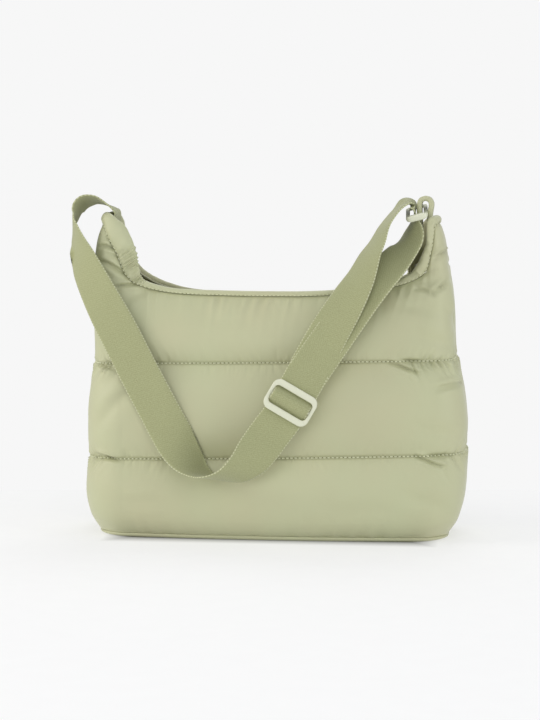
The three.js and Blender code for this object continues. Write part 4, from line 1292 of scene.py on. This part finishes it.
def strap_ring():
    """Rectangular ring, cast thicker at its near end, which looks like a lens from the front."""
    piece = metal_frame("ring", RING_SIZE, (RING_BAR, RING_BAR), RING_THICK, RING_CORNER)
    inner = RING_SIZE[0] / 2 - RING_BAR
    for vertex in piece.data.vertices:
        near = smooth_step(-vertex.co.x / MM, inner - 1.5, inner + 0.5)
        middle = max(0.0, 1 - (vertex.co.y / MM / (RING_SIZE[1] / 2)) ** 2)
        vertex.co.z *= 1 + RING_LENS * near * middle**0.7
    short = Vector((math.cos(RING_TILT), 0, math.sin(RING_TILT)))
    long = Vector((0, math.cos(RING_PITCH), math.sin(RING_PITCH)))
    long = (long - short * long.dot(short)).normalized()
    seat_piece(piece, RING_AT, long, short, long.cross(short))
    finish_piece(piece, [ENAMEL], "ring")


adjuster()
strap_ring()


def ring_tab():
    """Folded cloth tab over the ring's far bar."""
    reach = (RING_SIZE[1] - RING_BAR) / 2
    bar = RING_AT + Vector((math.cos(RING_TILT) * reach, 0, math.sin(RING_TILT) * reach))
    foot = bar.z - TAB_FOOT_Z
    r = TAB_ROUND
    thick = TAB_THICK + TAB_PLUMP
    line = smooth_line([
        Vector((-r + 1, 0, -foot)), Vector((-r + 0.5, 0, -foot / 2)), Vector((-r, 0, 0)),
        Vector((-r, 0, TAB_SLACK)), Vector((-r * 0.75, 0, TAB_SLACK + r * 0.7)),
        Vector((0, 0, TAB_SLACK + r)),
        Vector((r * 0.75, 0, TAB_SLACK + r * 0.7)), Vector((r, 0, TAB_SLACK)), Vector((r - 0.8, 0, 0)),
        Vector((r - 1.6, 0, -foot / 3)), Vector((r - 1, 0, -foot)),
    ], 5)
    rings = []
    for index, point in enumerate(line):
        run = (line[min(index + 1, len(line) - 1)] - line[max(index - 1, 0)]).normalized()
        out = Vector((-run.z, 0, run.x))
        ring = []
        for share in (-1, -0.9, -0.5, 0, 0.5, 0.9, 1):
            full = 0.45 if abs(share) == 1 else 1.0
            crease = 0.12 * wave_noise(index * 0.5, share * 3, 7.7)
            aside = Vector((0, share * TAB_WIDTH / 2, 0))
            ring.append(bar + point + aside + out * (thick / 2 * full + crease))
        for share in (1, 0.9, 0.5, 0, -0.5, -0.9, -1):
            full = 0.45 if abs(share) == 1 else 1.0
            aside = Vector((0, share * TAB_WIDTH / 2, 0))
            ring.append(bar + point + aside - out * (thick / 2 * full))
        rings.append(ring)
    piece = loft("ring_tab", rings)
    finish_piece(piece, [NYLON], "ring_tab")


ring_tab()


# Plates, bridge and eye of the slider in metres: size and place from its middle
SLIDER_PARTS = (
    ((0.011, 0.0085, 0.0016), (0, 0, 0.0024)), ((0.011, 0.0085, 0.0016), (0, 0, -0.0024)),
    ((0.0025, 0.002, 0.005), (0.003, 0, 0)), ((0.006, 0.0022, 0.0016), (0, 0, 0.0038)),
)


def zip_slider():
    """Die-cast slider: two plates on a bridge, with its eye."""
    low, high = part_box("zip_slider")
    middle = (Vector(low) + Vector(high)) / 2
    parts = []
    for size, at in SLIDER_PARTS:
        bpy.ops.object.select_all(action="DESELECT")
        bpy.ops.mesh.primitive_cube_add(size=1, location=middle + Vector(at))
        part = bpy.context.active_object
        part.scale = size
        bpy.ops.object.transform_apply(location=True, rotation=True, scale=True)
        round_off(part, 0.5, 2)
        parts.append(part)
    bpy.ops.object.select_all(action="DESELECT")
    for part in parts:
        part.select_set(True)
    bpy.context.view_layer.objects.active = parts[0]
    bpy.ops.object.join()
    piece = parts[0]
    piece.name = "zip_slider"
    finish_piece(piece, [NICKEL], "zip_slider")


zip_slider()


# Floor, light and camera
def paper_floor():
    """Sheet of white paper whose far edge is the horizon in the picture. It glows evenly, except for a
    painted contact shadow under the bag.
    """
    bpy.ops.object.select_all(action="DESELECT")
    bpy.ops.mesh.primitive_plane_add(size=1)
    floor = bpy.context.active_object
    floor.name = "floor"
    width, depth = FLOOR_SIZE
    seat = Matrix.Translation((0, FLOOR_FAR_EDGE - depth / 2, 0)) @ Matrix.Diagonal((width, depth, 1, 1))
    floor.data.transform(Matrix.Rotation(CAMERA_AZIMUTH, 4, "Z") @ seat)
    material, tree, shader = new_material("matt white paper")
    where = add_node(tree, "ShaderNodeTexCoord").outputs["Object"]
    # Clouds in the paper are about 25 mm across
    fibre = add_node(tree, "ShaderNodeTexNoise", {"Scale": 40, "Detail": 2}, {"Vector": where})
    tint = add_node(tree, "ShaderNodeMix", {6: linear("#a8a8a8"), 7: linear("#acacac")},
                    {0: fibre.outputs["Fac"]}, data_type="RGBA")
    tree.links.new(tint.outputs[2], shader.inputs["Base Color"])
    shader.inputs["Roughness"].default_value = 0.9
    shader.inputs["Emission Color"].default_value = linear("#ffffff")
    # The paper's glow is taken away under the bag and just before it: a painted contact shadow, a dark
    # line of contact
    split = add_node(tree, "ShaderNodeSeparateXYZ", None, {"Vector": where})
    masks = []
    for axis, (start, end) in (("X", SHADE_ENDS), ("Y", SHADE_SIDES)):
        reach = add_node(tree, "ShaderNodeMath", None, {0: split.outputs[axis]}, operation="ABSOLUTE")
        masks.append(add_node(tree, "ShaderNodeMapRange", {"From Min": start, "From Max": end},
                              {"Value": reach.outputs[0]}))
    clear = add_node(tree, "ShaderNodeMath", None, {0: masks[0].outputs[0], 1: masks[1].outputs[0]},
                     operation="MAXIMUM")
    glow = add_node(tree, "ShaderNodeMapRange", {"To Min": 0.0, "To Max": 0.53},
                    {"Value": clear.outputs[0]})
    tree.links.new(glow.outputs[0], shader.inputs["Emission Strength"])
    floor.data.materials.append(material)


def white_room():
    """Even light from all sides, and a white wall that only the camera sees."""
    world = bpy.context.scene.world or bpy.data.worlds.new("studio")
    bpy.context.scene.world = world
    world.use_nodes = True
    tree = world.node_tree
    room = tree.nodes["Background"]
    room.inputs["Color"].default_value = linear("#f4f6f8")
    room.inputs["Strength"].default_value = 0.56
    wall = add_node(tree, "ShaderNodeBackground", {"Color": linear("#f7f7f7"), "Strength": 1.0})
    seen = add_node(tree, "ShaderNodeLightPath")
    both = add_node(tree, "ShaderNodeMixShader", None,
                    {0: seen.outputs["Is Camera Ray"], 1: room.outputs[0], 2: wall.outputs[0]})
    tree.links.new(both.outputs[0], tree.nodes["World Output"].inputs["Surface"])


def soft_light(name, place, size, power, colour):
    """Round soft light that points at the bag's middle."""
    light = bpy.data.lights.new(name, "AREA")
    light.shape = "DISK"
    light.size = size
    light.energy = power
    light.color = linear(colour)[:3]
    lamp = bpy.data.objects.new(name, light)
    lamp.location = place
    lamp.rotation_euler = (LIGHT_TARGET - Vector(place)).to_track_quat("-Z", "Y").to_euler()
    bpy.context.scene.collection.objects.link(lamp)


def photo_camera():
    """Camera a little to the right of the bag's front and a little above it."""
    level = math.cos(CAMERA_ELEVATION)
    back = Vector((math.sin(CAMERA_AZIMUTH) * level, -math.cos(CAMERA_AZIMUTH) * level,
                   math.sin(CAMERA_ELEVATION)))
    camera = bpy.data.objects.new("camera", bpy.data.cameras.new("camera"))
    camera.data.lens = SENSOR * CAMERA_DISTANCE / (PICTURE_HEIGHT * PIXEL_SIZE * MM)
    camera.data.clip_end = 30
    camera.location = CAMERA_TARGET + back * CAMERA_DISTANCE
    camera.rotation_euler = (-back).to_track_quat("-Z", "Y").to_euler()
    bpy.context.scene.collection.objects.link(camera)
    bpy.context.scene.camera = camera
    bpy.context.scene.view_settings.view_transform = "Standard"


paper_floor()
white_room()
for light in LIGHTS:
    soft_light(*light)
photo_camera()
